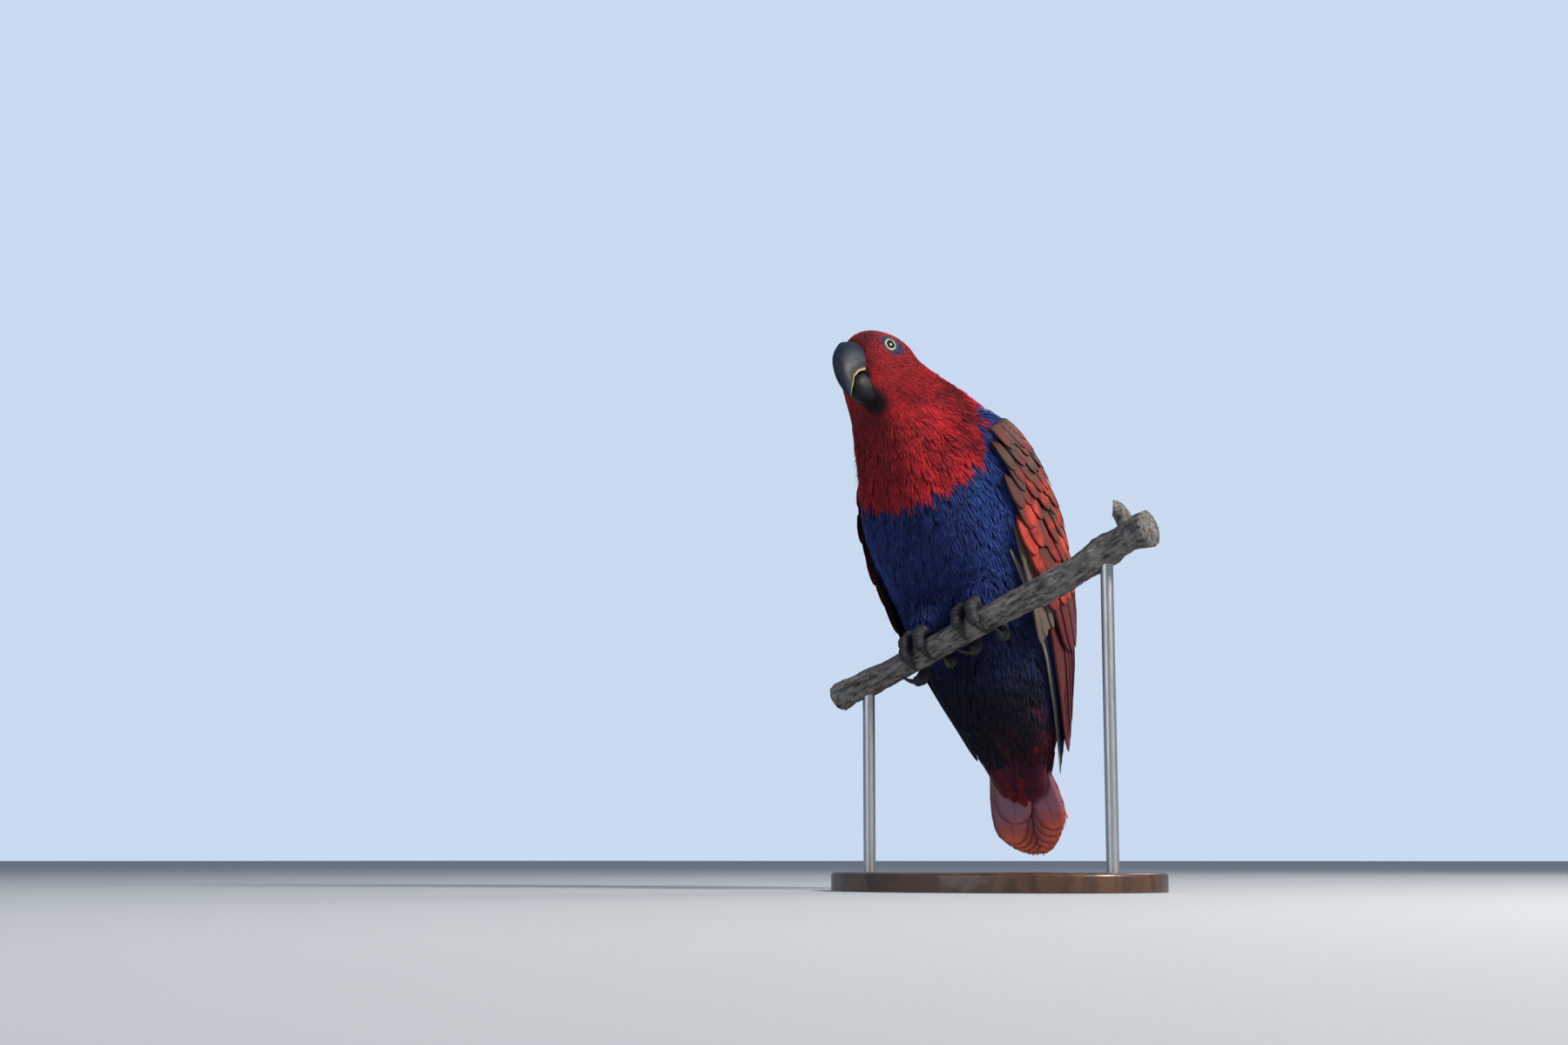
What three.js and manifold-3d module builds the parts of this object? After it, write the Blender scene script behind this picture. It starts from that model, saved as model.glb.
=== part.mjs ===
// A life-size model of a female eclectus parrot that grips a short cut branch on a plain display stand.
// Millimetres, +Z up, the bird faces -Y and its left side is +X. The origin is the middle of the base's underside.
import * as THREE from "three";
import { mergeVertices } from "three/addons/utils/BufferGeometryUtils.js";
import Module from "manifold-3d";

const wasm = await Module();
wasm.setup();

// Driving dimensions of the stand and the perch
const GAP = 0.3;
const PERCH_HEIGHT = 162;
const PERCH_FROM_CENTRE = { x: -20, y: -20 };
const PERCH_SLOPE = 22;
const PERCH_RADIUS = 8.2;
const PERCH_REACH = { low: -95, high: 160 };
const PERCH_END_SWELL = 1.6;
const FORK = { at: 146, length: 20, radius: 4.8 };
const BASE = { radius: 84, stretch: 1.38, thickness: 12, edge: 2.5 };
const ROD = { radius: 4, low: -70, high: 126 };

// Driving dimensions of the bird. The body's line runs from the tail tip to the head; s counts from the vent.
const SPINE = [
  { s: -101, x: 0, y: 103, z: -124 },
  { s: 0, x: -6.5, y: 74, z: -28 },
  { s: 32, x: -9, y: 65, z: 2 },
  { s: 95, x: -13.5, y: 43, z: 60 },
  { s: 159, x: -20, y: 15, z: 118 },
  { s: 201, x: -26, y: -11, z: 152 },
  { s: 243, x: -33, y: -41, z: 183 },
];
// Half width, depth to the belly and depth to the back, square to that line
const TRUNK = [
  { s: -75, half: 22, belly: 5, back: 4 },
  { s: -58, half: 25.5, belly: 8.5, back: 6.5 },
  { s: -40, half: 31.5, belly: 16, back: 11.5 },
  { s: -20, half: 39, belly: 27, back: 19 },
  { s: 0, half: 45, belly: 34, back: 27 },
  { s: 32, half: 53, belly: 36, back: 38 },
  { s: 60, half: 58, belly: 41, back: 47 },
  { s: 95, half: 60, belly: 50, back: 53 },
  { s: 125, half: 60, belly: 57, back: 54 },
  { s: 159, half: 54, belly: 54, back: 49 },
  { s: 180, half: 47, belly: 48, back: 41 },
  { s: 201, half: 39.5, belly: 41, back: 31.5 },
  { s: 220, half: 31.5, belly: 34, back: 23.5 },
  { s: 243, half: 22.5, belly: 26, back: 16 },
];
// The outer face of the folded wings, measured the same way
const FOLDED_WING = [
  { s: -75, half: 32, belly: 25, back: 17 },
  { s: -22, half: 47, belly: 40, back: 28.5 },
  { s: 21, half: 58, belly: 46, back: 43.5 },
  { s: 59, half: 65.5, belly: 51, back: 55.5 },
  { s: 105, half: 69, belly: 61, back: 61.5 },
  { s: 141, half: 66.5, belly: 62, back: 60 },
  { s: 165, half: 60, belly: 58, back: 55.5 },
  { s: 182, half: 52, belly: 50, back: 47 },
];
const SECTION_POWER = 2.2;
const TRUNK_SIDES = 22;
const CUTS = { tail: -52, rump: 24, neck: 182, head: 240 };

// The head, in its own frame: forward, left and up from the point between the eyes
const HEAD_CENTRE = new THREE.Vector3(-28.8, -43.5, 183.5);
const HEAD_TURN = 10;
const HEAD_PITCH = 3;
const HEAD_ROLL = 14;
const SKULL = [
  { f: -33, half: 6, top: 1, bottom: -11 },
  { f: -29, half: 13, top: 7, bottom: -19 },
  { f: -21, half: 18.8, top: 13.4, bottom: -28 },
  { f: -11, half: 21.8, top: 17.4, bottom: -33 },
  { f: 0, half: 21.8, top: 18.6, bottom: -35 },
  { f: 9, half: 20.6, top: 17.6, bottom: -35 },
  { f: 15, half: 17.6, top: 15, bottom: -32 },
  { f: 19, half: 13.4, top: 11.8, bottom: -27 },
  { f: 22, half: 7.5, top: 7.5, bottom: -18 },
];
const EYE = { radius: 6.2, out: 15.2, forward: 3, up: 0.5, turn: 15, lidRing: 5, lidThickness: 1 };
// The bill's side view: ridge and cutting edge as [forward, up], and half width
const UPPER_BILL = [
  { ridge: [14, 6.6], edge: [9, -13.6], half: 10 },
  { ridge: [22, 6.8], edge: [15, -15], half: 9.8 },
  { ridge: [29.6, 4.8], edge: [20.2, -16.4], half: 9.1 },
  { ridge: [35, -0.8], edge: [24, -18], half: 7.8 },
  { ridge: [37.8, -8], edge: [26.2, -21], half: 6.4 },
  { ridge: [37.8, -16.4], edge: [27.8, -24.8], half: 4.9 },
  { ridge: [35.4, -24.2], edge: [28.4, -28.8], half: 3.3 },
  { ridge: [31.6, -30.4], edge: [28.2, -31.8], half: 1.7 },
  { ridge: [28.8, -34], edge: [28, -33.4], half: 0.5 },
];
const LOWER_BILL = [
  { ridge: [8, -15], edge: [3, -31], half: 9.4 },
  { ridge: [14, -16], edge: [9.4, -34.6], half: 9.2 },
  { ridge: [20, -17.8], edge: [16, -35.4], half: 8.2 },
  { ridge: [24, -20], edge: [21.8, -33], half: 6.8 },
  { ridge: [26, -22.8], edge: [25.6, -29], half: 4.8 },
];
const NOSTRIL = { f: 19, left: 5, up: 8, radius: 1.3 };

// Legs and feet. Angles round the perch start at its top and grow towards the bird's front.
const FOOT_SPACING = 22;
const PAD = { angle: -16, radius: 5.4 };
const ANKLE = { y: 13, z: 25 };
const TARSUS_RADIUS = 4.2;
const THIGH = { root: { x: 20, y: 42, z: 50 }, radii: [22, 21, 19, 16, 12.3, 7.5], hem: 0 };
const TOES = [
  { name: "toe_1_rear_inner", side: -1, from: -34, to: -158, loose: 1.5, spread: 4.9, drift: 8, base: 4.4, tip: 3.7 },
  { name: "toe_2_front_inner", side: -1, from: 4, to: 92, loose: 0, spread: 5, drift: 1.5, base: 4.5, tip: 3.6 },
  { name: "toe_3_front_outer", side: 1, from: 4, to: 104, loose: 0, spread: 5, drift: 1.5, base: 4.6, tip: 3.7 },
  { name: "toe_4_rear_outer", side: 1, from: -34, to: -172, loose: 1.5, spread: 4.9, drift: 9, base: 4.5, tip: 3.8 },
];
const CLAW = { length: 13, radius: 2.3, curl: 66 };

// Feathers. Each row runs from the wing's front edge to the back, and every pair is [front, back].
const VANE = 0.6;
const WING_ROWS = [
  { count: 4, root: [160, 158], tip: [120, 126], fromAngle: [87, 138], toAngle: [84, 146], width: [20, 24] },
  { count: 4, root: [140, 142], tip: [98, 104], fromAngle: [80, 146], toAngle: [78, 154], width: [21, 25] },
  { count: 4, root: [118, 122], tip: [74, 84], fromAngle: [77, 152], toAngle: [78, 160], width: [24, 27] },
  { count: 5, root: [96, 102], tip: [42, 60], fromAngle: [79, 154], toAngle: [84, 165], width: [20, 22] },
  { count: 5, root: [72, 86], tip: [-4, 20], fromAngle: [92, 152], toAngle: [108, 164], width: [20, 22], long: true },
];
const TERTIALS = { count: 2, root: [108, 116], tip: [2, 24], fromAngle: [160, 166], toAngle: [169, 176], width: [20, 20] };
const PRIMARIES = { count: 5, root: [98, 92], tip: [-62, -14], fromAngle: [69, 88], toAngle: [98, 122], width: [13, 17] };
const ROW_LIFT = { root: -4.7, tip: 0.1 };
const ROW_ROLL = -7;
const PRIMARY_LIFT = { low: -6, high: -2.8 };
const CORE_LIFT = -3.7;
const WING_RIM = 1.8;
const WING_TOP = 176;
const WING_FOOT = 76;
const WING_FRONT = [
  { s: 76, angle: 66 },
  { s: 110, angle: 64 },
  { s: 150, angle: 71 },
  { s: 176, angle: 92 },
];
const WING_BACK = [
  { s: 76, angle: 168 },
  { s: 110, angle: 168 },
  { s: 150, angle: 158 },
  { s: 176, angle: 130 },
];
const TAIL = { feathers: 12, width: 20, spread: 20, step: 0.95, outerShorter: 12, length: 64 };
const COVERTS = [
  { count: 4, root: [-10, -10], tip: [-50, -50], fromAngle: [-52, 52], toAngle: [-44, 44], width: 24 },
  { count: 4, root: [-32, -32], tip: [-76, -76], fromAngle: [-44, 44], toAngle: [-34, 34], width: 17 },
  { count: 4, root: [-16, -16], tip: [-66, -66], fromAngle: [132, 228], toAngle: [144, 216], width: 20 },
];

const RED = 0xb01c20;
const WING_RED = 0x962420;
const BLUE = 0x1b2460;
const TAIL_RED = 0xa03038;
const BILL_BLACK = 0x1d2026;
const SKIN_GREY = 0x3c3d3c;
const CLAW_BLACK = 0x17171a;
const EYE_DARK = 0x120e0c;
const BARK = 0x6e6a60;
const STAND_WOOD = 0x4a3020;
const STAND_METAL = 0x9a9a98;

const rad = THREE.MathUtils.degToRad;
const mix = THREE.MathUtils.lerp;
const vec = (x, y, z) => new THREE.Vector3(x, y, z);

// Smooth values between the rows of a table that is keyed by s, f or t
function along(table, at, key = "s") {
  const last = table.length - 1;
  const x = Math.min(Math.max(at, table[0][key]), table[last][key]);
  let i = 0;
  while (i < last - 1 && x > table[i + 1][key]) i++;
  const span = table[i + 1][key] - table[i][key];
  const u = (x - table[i][key]) / span;
  const slope = (name, k) => {
    const a = table[Math.max(k - 1, 0)];
    const b = table[Math.min(k + 1, last)];
    return (b[name] - a[name]) / (b[key] - a[key]);
  };
  const out = {};
  for (const name of Object.keys(table[i])) {
    const p = table[i][name];
    const q = table[i + 1][name];
    const m = slope(name, i) * span;
    const n = slope(name, i + 1) * span;
    out[name] =
      p * (2 * u ** 3 - 3 * u ** 2 + 1) + m * (u ** 3 - 2 * u ** 2 + u) + q * (3 * u ** 2 - 2 * u ** 3) + n * (u ** 3 - u ** 2);
  }
  return out;
}

// Geometry from rings of points, closed at both ends by a fan
function loft(rings) {
  const n = rings[0].length;
  const points = rings.flat();
  const index = [];
  for (let i = 0; i + 1 < rings.length; i++) {
    for (let j = 0; j < n; j++) {
      const a = i * n + j;
      const b = i * n + ((j + 1) % n);
      index.push(a, b, a + n, b, b + n, a + n);
    }
  }
  for (const end of [0, rings.length - 1]) {
    const middle = points.length;
    points.push(rings[end].reduce((sum, p) => sum.add(p), vec(0, 0, 0)).divideScalar(n));
    for (let j = 0; j < n; j++) {
      const a = end * n + j;
      const b = end * n + ((j + 1) % n);
      index.push(...(end === 0 ? [b, a, middle] : [a, b, middle]));
    }
  }
  const geometry = new THREE.BufferGeometry().setFromPoints(points);
  geometry.setIndex(index);
  return geometry;
}

// Geometry between two grids of points that lie over each other, walled round the edge
function slab(inner, outer) {
  const rows = inner.length;
  const columns = inner[0].length;
  const points = [...inner.flat(), ...outer.flat()];
  const lift = rows * columns;
  const index = [];
  for (let i = 0; i + 1 < rows; i++) {
    for (let j = 0; j + 1 < columns; j++) {
      const a = i * columns + j;
      const [b, c, d] = [a + 1, a + columns, a + columns + 1];
      index.push(a, c, b, b, c, d, a + lift, b + lift, c + lift, b + lift, d + lift, c + lift);
    }
  }
  const edge = [];
  for (let j = 0; j < columns; j++) edge.push(j);
  for (let i = 1; i < rows; i++) edge.push(i * columns + columns - 1);
  for (let j = columns - 2; j >= 0; j--) edge.push((rows - 1) * columns + j);
  for (let i = rows - 2; i > 0; i--) edge.push(i * columns);
  edge.forEach((a, k) => {
    const b = edge[(k + 1) % edge.length];
    index.push(a, b, a + lift, b, b + lift, a + lift);
  });
  const geometry = new THREE.BufferGeometry().setFromPoints(points);
  geometry.setIndex(index);
  return geometry;
}

// A closed geometry as a solid that faces outwards
function solid(geometry) {
  const bare = geometry.clone();
  bare.deleteAttribute("normal");
  bare.deleteAttribute("uv");
  const merged = mergeVertices(bare, 1e-4);
  const vertProperties = new Float32Array(merged.attributes.position.array);
  const triVerts = new Uint32Array(merged.index.array);
  const made = new wasm.Manifold(new wasm.Mesh({ numProp: 3, vertProperties, triVerts }));
  if (made.volume() > 0) return made;
  for (let i = 0; i < triVerts.length; i += 3) {
    [triVerts[i + 1], triVerts[i + 2]] = [triVerts[i + 2], triVerts[i + 1]];
  }
  return new wasm.Manifold(new wasm.Mesh({ numProp: 3, vertProperties, triVerts }));
}

// The largest closed surface of a solid, which fills sealed hollows and drops loose scraps
function whole(made) {
  return made.decompose().reduce((best, piece) => (piece.volume() > best.volume() ? piece : best));
}

const fuse = (pieces) => whole(wasm.Manifold.union(pieces));

function ball(radius, centre, wide = 12, high = 8) {
  const geometry = new THREE.SphereGeometry(radius, wide, high);
  return solid(geometry.translate(centre.x, centre.y, centre.z));
}

const model = new THREE.Group();
const bird = new THREE.Group();
bird.position.set(PERCH_FROM_CENTRE.x, PERCH_FROM_CENTRE.y, PERCH_HEIGHT);
model.add(bird);

function addNode(name, made, color, roughness, metalness = 0) {
  const mesh = whole(made).getMesh();
  const geometry = new THREE.BufferGeometry();
  geometry.setAttribute("position", new THREE.BufferAttribute(new Float32Array(mesh.vertProperties), 3));
  geometry.setIndex(new THREE.BufferAttribute(new Uint32Array(mesh.triVerts), 1));
  geometry.computeVertexNormals();
  const node = new THREE.Mesh(geometry, new THREE.MeshStandardMaterial({ color, roughness, metalness }));
  node.name = name;
  bird.add(node);
}

// The body's frame at s: middle, direction to the head, left side and back
function bodyFrame(s) {
  const at = (x) => {
    const p = along(SPINE, x);
    return vec(p.x, p.y, p.z);
  };
  const middle = at(s);
  const ahead = at(s + 2).sub(at(s - 2)).normalize();
  const left = vec(1, 0, 0).addScaledVector(ahead, -ahead.x).normalize();
  const back = ahead.clone().cross(left);
  return { middle, ahead, left, back };
}

// A point on the body or on the folded wings. Angle 0 is the belly, 90 the left side and 180 the back.
function bodyPoint(table, s, angle, lift = 0) {
  const { middle, left, back } = bodyFrame(s);
  const size = along(table, s);
  const power = 2 / SECTION_POWER;
  const sin = Math.sin(rad(angle));
  const cos = Math.cos(rad(angle));
  const across = Math.sign(sin) * Math.abs(sin) ** power * (size.half + lift);
  const depth = Math.sign(cos) * Math.abs(cos) ** power * ((cos > 0 ? size.belly : size.back) + lift);
  return middle.clone().addScaledVector(left, across).addScaledVector(back, -depth);
}

// A length of the body between two places, or the same length grown all round
function trunk(from, to, lift = 0) {
  const steps = Math.max(2, Math.round((to - from) / 12));
  const stations = Array.from({ length: steps + 1 }, (_, i) => mix(from, to, i / steps));
  if (lift > 0) stations.unshift(from - lift);
  if (lift > 0) stations.push(to + lift);
  const rings = stations.map((s) =>
    Array.from({ length: TRUNK_SIDES }, (_, j) => bodyPoint(TRUNK, s, (j * 360) / TRUNK_SIDES, lift)),
  );
  return solid(loft(rings));
}

// One flat feather along a line of points with outward normals
const LONG_VANE = [
  [0, 0.6],
  [0.5, 1],
  [0.82, 0.9],
  [0.95, 0.58],
  [1, 0.16],
];
const SHORT_VANE = [
  [0, 0.75],
  [0.65, 1],
  [0.92, 0.62],
  [1, 0.2],
];

function vane(place, width, roll, shape = LONG_VANE, thickness = VANE) {
  const rings = shape.map(([t, share]) => {
    const { point, normal } = place(t);
    const ahead = place(Math.min(t + 0.02, 1)).point.sub(place(Math.max(t - 0.02, 0)).point).normalize();
    const up = normal.clone().applyAxisAngle(ahead, rad(roll * (1 - 0.5 * t)));
    const across = ahead.clone().cross(up).normalize();
    up.crossVectors(across, ahead).normalize();
    const half = (width * share) / 2;
    const corner = (a, b) => point.clone().addScaledVector(across, a * half).addScaledVector(up, (b * thickness) / 2);
    return [corner(-1, -1), corner(1, -1), corner(1, 1), corner(-1, 1)];
  });
  return solid(flatLoft(rings));
}

// Four-cornered rings, with the broad faces split alike and flat ends
function flatLoft(rings) {
  const points = rings.flat();
  const index = [];
  const quad = (a, b, c, d) => index.push(a, b, c, a, c, d);
  for (let i = 0; i + 1 < rings.length; i++) {
    const [a, b] = [i * 4, i * 4 + 4];
    index.push(a, a + 1, b + 1, a, b + 1, b);
    quad(a + 1, a + 2, b + 2, b + 1);
    index.push(a + 3, b + 2, a + 2, a + 3, b + 3, b + 2);
    quad(a + 3, a, b, b + 3);
  }
  const e = (rings.length - 1) * 4;
  index.push(0, 2, 1, 0, 3, 2, e, e + 1, e + 2, e, e + 2, e + 3);
  const geometry = new THREE.BufferGeometry().setFromPoints(points);
  geometry.setIndex(index);
  return geometry;
}

// A feather's place on the surface that a table gives
function onSurface(table, root, tip, fromAngle, toAngle, liftAt) {
  return (t) => {
    const s = mix(root, tip, t);
    const angle = mix(fromAngle, toAngle, t);
    const lift = liftAt(t);
    const point = bodyPoint(table, s, angle, lift);
    const round = bodyPoint(table, s, angle + 2, lift).sub(bodyPoint(table, s, angle - 2, lift));
    const up = bodyPoint(table, s + 2, angle, lift).sub(bodyPoint(table, s - 2, angle, lift));
    return { point, normal: round.cross(up).normalize() };
  };
}

// A row's value for one of its feathers
const pick = (pair, u) => mix(pair[0], pair[1], u);

// The body's lengths from the tail's root to the head, with a fine gap between them
const LENGTHS = {
  rump: [CUTS.tail, CUTS.rump - GAP / 2],
  torso: [CUTS.rump + GAP / 2, CUTS.neck - GAP / 2],
  neck: [CUTS.neck + GAP / 2, CUTS.head],
};
const trunkGrown = wasm.Manifold.union(Object.values(LENGTHS).map(([from, to]) => trunk(from, to, GAP)));

// The head's frame
const headForward = vec(-Math.sin(rad(HEAD_TURN)), -Math.cos(rad(HEAD_TURN)), Math.tan(rad(HEAD_PITCH))).normalize();
const headLeft = vec(0, 0, 1).cross(headForward).normalize();
headLeft.applyAxisAngle(headForward, rad(HEAD_ROLL));
const headUp = headForward.clone().cross(headLeft).normalize();
function headPoint(f, left, up) {
  return HEAD_CENTRE.clone()
    .addScaledVector(headForward, f)
    .addScaledVector(headLeft, left)
    .addScaledVector(headUp, up);
}

function skull(lift = 0) {
  const rings = [];
  const steps = 12;
  const first = SKULL[0].f;
  const last = SKULL[SKULL.length - 1].f;
  for (let i = 0; i <= steps; i++) {
    const f = mix(first, last, i / steps);
    const size = along(SKULL, f, "f");
    const middle = (size.top + size.bottom) / 2;
    const tall = (size.top - size.bottom) / 2 + lift;
    const stretch = f + (lift * (i - steps / 2)) / (steps / 2);
    const ring = [];
    for (let j = 0; j < TRUNK_SIDES; j++) {
      const a = rad((j * 360) / TRUNK_SIDES);
      ring.push(headPoint(stretch, (size.half + lift) * Math.sin(a), middle - tall * Math.cos(a)));
    }
    rings.push(ring);
  }
  return solid(loft(rings));
}

function eyeCentre(side) {
  return headPoint(EYE.forward, side * EYE.out, EYE.up);
}

function lid(side) {
  const ring = new THREE.TorusGeometry(EYE.lidRing, EYE.lidThickness, 5, 12);
  const facing = headLeft
    .clone()
    .multiplyScalar(side * Math.cos(rad(EYE.turn)))
    .addScaledVector(headForward, Math.sin(rad(EYE.turn)));
  ring.applyQuaternion(new THREE.Quaternion().setFromUnitVectors(vec(0, 0, 1), facing));
  const rim = Math.sqrt(EYE.radius ** 2 - EYE.lidRing ** 2);
  const middle = eyeCentre(side).addScaledVector(facing, rim + EYE.lidThickness / 2);
  return solid(ring.translate(middle.x, middle.y, middle.z));
}

const skullGrown = skull(GAP);
function buildHead() {
  let head = fuse([skull(), lid(1), lid(-1)]);
  for (const side of [1, -1]) {
    head = head.subtract(ball(EYE.radius + GAP, eyeCentre(side), 14, 9));
    head = head.subtract(ball(NOSTRIL.radius + GAP, headPoint(NOSTRIL.f, side * NOSTRIL.left, NOSTRIL.up + 3), 8, 6));
    addNode(side > 0 ? "eye_left" : "eye_right", ball(EYE.radius, eyeCentre(side), 14, 9), EYE_DARK, 0.08);
  }
  addNode("head", head, RED, 0.8);
}

// A bill half from its side view. The profile gives the share of the depth and of the half width.
const BILL_SIDE = [
  [0.1, 0.5],
  [0.28, 0.8],
  [0.52, 0.97],
  [0.78, 1],
  [1, 0.86],
];
function billHalf(stations, underside) {
  const rings = stations.map(({ ridge, edge, half }) => {
    const at = (v, share) => headPoint(mix(ridge[0], edge[0], v), share * half, mix(ridge[1], edge[1], v));
    const left = BILL_SIDE.map(([v, share]) => at(v, share));
    const right = BILL_SIDE.map(([v, share]) => at(v, -share)).reverse();
    return [at(0, 0), ...left, at(underside, 0), ...right];
  });
  return solid(loft(rings));
}

function buildBill() {
  let upper = billHalf(UPPER_BILL, 0.93).subtract(skullGrown);
  for (const side of [1, -1]) {
    upper = upper.subtract(ball(NOSTRIL.radius, headPoint(NOSTRIL.f + 3, side * NOSTRIL.left, NOSTRIL.up), 8, 6));
  }
  addNode("bill_upper", upper, BILL_BLACK, 0.35);
  const flipped = LOWER_BILL.map(({ ridge, edge, half }) => ({ ridge: edge, edge: ridge, half }));
  const roof = UPPER_BILL.map(({ ridge, edge, half }) => ({
    ridge: [ridge[0] + GAP, ridge[1] + GAP],
    edge: [edge[0] - GAP, edge[1] - GAP],
    half: half + GAP,
  }));
  const lower = billHalf(flipped, 1.02).subtract(skullGrown).subtract(billHalf(roof, 1.0));
  addNode("bill_lower", lower, BILL_BLACK, 0.4);
}

function buildTrunk() {
  addNode("neck", trunk(...LENGTHS.neck).subtract(skullGrown), RED, 0.85);
  addNode("torso", trunk(...LENGTHS.torso), BLUE, 0.85);
  const feathers = [];
  for (const row of COVERTS) {
    for (let i = 0; i < row.count; i++) {
      const u = row.count > 1 ? i / (row.count - 1) : 0.5;
      const middle = 1 - Math.abs(2 * u - 1);
      const lift = (t) => mix(-2.4, 1 + 0.95 * (i % 2), Math.min(1, t * 1.8));
      const tip = pick(row.tip, u) - 6 * middle;
      const place = onSurface(TRUNK, pick(row.root, u), tip, pick(row.fromAngle, u), pick(row.toAngle, u), lift);
      feathers.push(vane(place, row.width, 0, SHORT_VANE));
    }
  }
  addNode("rump", fuse([trunk(...LENGTHS.rump), ...feathers]), BLUE, 0.85);
}

// The tail: a flat root with feathers that overlap from the middle pair down to the outer pair
function buildTail() {
  const { middle, ahead, left, back } = bodyFrame(CUTS.tail);
  const at = (down, across, up) =>
    middle
      .clone()
      .addScaledVector(ahead, -down)
      .addScaledVector(left, across)
      .addScaledVector(back, up);
  const pairs = TAIL.feathers / 2;
  const stack = pairs * TAIL.step;
  const rootRing = (down, half, tall) => {
    const ring = [];
    for (let j = 0; j < 16; j++) {
      const a = (j * Math.PI) / 8;
      ring.push(at(down, half * Math.sin(a), tall * Math.cos(a)));
    }
    return ring;
  };
  const root = solid(loft([rootRing(GAP, 22, stack / 2 + 0.6), rootRing(7, 22, stack / 2 + 0.4), rootRing(14, 19, 1.2)]));
  const feathers = [];
  for (let i = 0; i < TAIL.feathers; i++) {
    const rank = Math.floor(i / 2);
    const side = i % 2 ? 1 : -1;
    const u = rank / (pairs - 1);
    const across = side * (3 + TAIL.spread * u);
    const up = stack / 2 - rank * TAIL.step - (side > 0 ? TAIL.step / 2 : 0);
    const length = TAIL.length - TAIL.outerShorter * u * u;
    const place = (t) => ({
      point: at(mix(2, length, t), mix(across * 0.72, across, t), up),
      normal: back,
    });
    feathers.push(vane(place, TAIL.width, 0, LONG_VANE));
  }
  addNode("tail", fuse([root, ...feathers]), TAIL_RED, 0.8);
}

// A folded wing: the arm's slab with rows of feathers rooted in it
function buildWing(side) {
  const inner = [];
  const outer = [];
  const rows = 7;
  const columns = 7;
  for (let i = 0; i <= rows; i++) {
    const v = i / rows;
    const s = mix(WING_FOOT, WING_TOP, v);
    const from = along(WING_FRONT, s).angle;
    const to = along(WING_BACK, s).angle;
    inner.push([]);
    outer.push([]);
    for (let j = 0; j <= columns; j++) {
      const u = j / columns;
      const angle = side * mix(from, to, u);
      const rim = Math.min(1, 3 * Math.min(u, 1 - u)) * Math.min(1, 3 * (1 - v)) * Math.min(1, 4 * v + 0.6);
      const low = bodyPoint(TRUNK, s, angle, WING_RIM);
      inner[i].push(bodyPoint(TRUNK, s, angle, -1.5));
      outer[i].push(low.lerp(bodyPoint(FOLDED_WING, s, angle, CORE_LIFT), Math.sqrt(rim)));
    }
  }
  const feathers = [];
  const place = (row, u, lift) => {
    const angles = [side * pick(row.fromAngle, u), side * pick(row.toAngle, u)];
    return onSurface(FOLDED_WING, pick(row.root, u), pick(row.tip, u), ...angles, lift);
  };
  const rowLift = (t) => mix(ROW_LIFT.root, ROW_LIFT.tip, t);
  for (const row of WING_ROWS) {
    for (let i = 0; i < row.count; i++) {
      const u = i / (row.count - 1);
      const shape = row.long ? LONG_VANE : SHORT_VANE;
      feathers.push(vane(place(row, u, rowLift), pick(row.width, u), side * ROW_ROLL, shape));
    }
  }
  for (let i = 0; i < TERTIALS.count; i++) {
    const u = i / (TERTIALS.count - 1);
    const lift = (t) => mix(ROW_LIFT.root, ROW_LIFT.tip + i + 0.6, t);
    feathers.push(vane(place(TERTIALS, u, lift), pick(TERTIALS.width, u), side * ROW_ROLL));
  }
  for (let i = 0; i < PRIMARIES.count; i++) {
    const u = i / (PRIMARIES.count - 1);
    const lift = () => mix(PRIMARY_LIFT.low, PRIMARY_LIFT.high, u);
    feathers.push(vane(place(PRIMARIES, u, lift), pick(PRIMARIES.width, u), 0));
  }
  const middle = bodyFrame(CUTS.rump);
  const sideways = middle.left.clone().multiplyScalar(side);
  const offset = sideways.dot(middle.middle) + 0.4;
  const wing = fuse([solid(slab(inner, outer)), ...feathers])
    .subtract(trunkGrown)
    .trimByPlane(sideways.toArray(), offset);
  addNode(side > 0 ? "wing_left" : "wing_right", wing, WING_RED, 0.75);
}

// The perch's frame: along it, the bird's front, and square to both
const perchAlong = vec(Math.cos(rad(PERCH_SLOPE)), 0, Math.sin(rad(PERCH_SLOPE)));
const perchFront = vec(0, -1, 0);
const perchUp = perchFront.clone().cross(perchAlong).normalize();
function perchPoint(a, angle, radius) {
  return perchAlong
    .clone()
    .multiplyScalar(a)
    .addScaledVector(perchUp, radius * Math.cos(rad(angle)))
    .addScaledVector(perchFront, radius * Math.sin(rad(angle)));
}

// A tube of rings round a list of centres, each with its own radius
function tube(centres, radii, sides, up = perchAlong) {
  const rings = centres.map((centre, i) => {
    const ahead = centres[Math.min(i + 1, centres.length - 1)]
      .clone()
      .sub(centres[Math.max(i - 1, 0)])
      .normalize();
    const across = ahead.clone().cross(up).normalize();
    const other = across.clone().cross(ahead).normalize();
    const ring = [];
    for (let j = 0; j < sides; j++) {
      const a = (j * 2 * Math.PI) / sides;
      ring.push(
        centre
          .clone()
          .addScaledVector(across, radii[i] * Math.cos(a))
          .addScaledVector(other, radii[i] * Math.sin(a)),
      );
    }
    return ring;
  });
  return solid(loft(rings));
}

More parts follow.
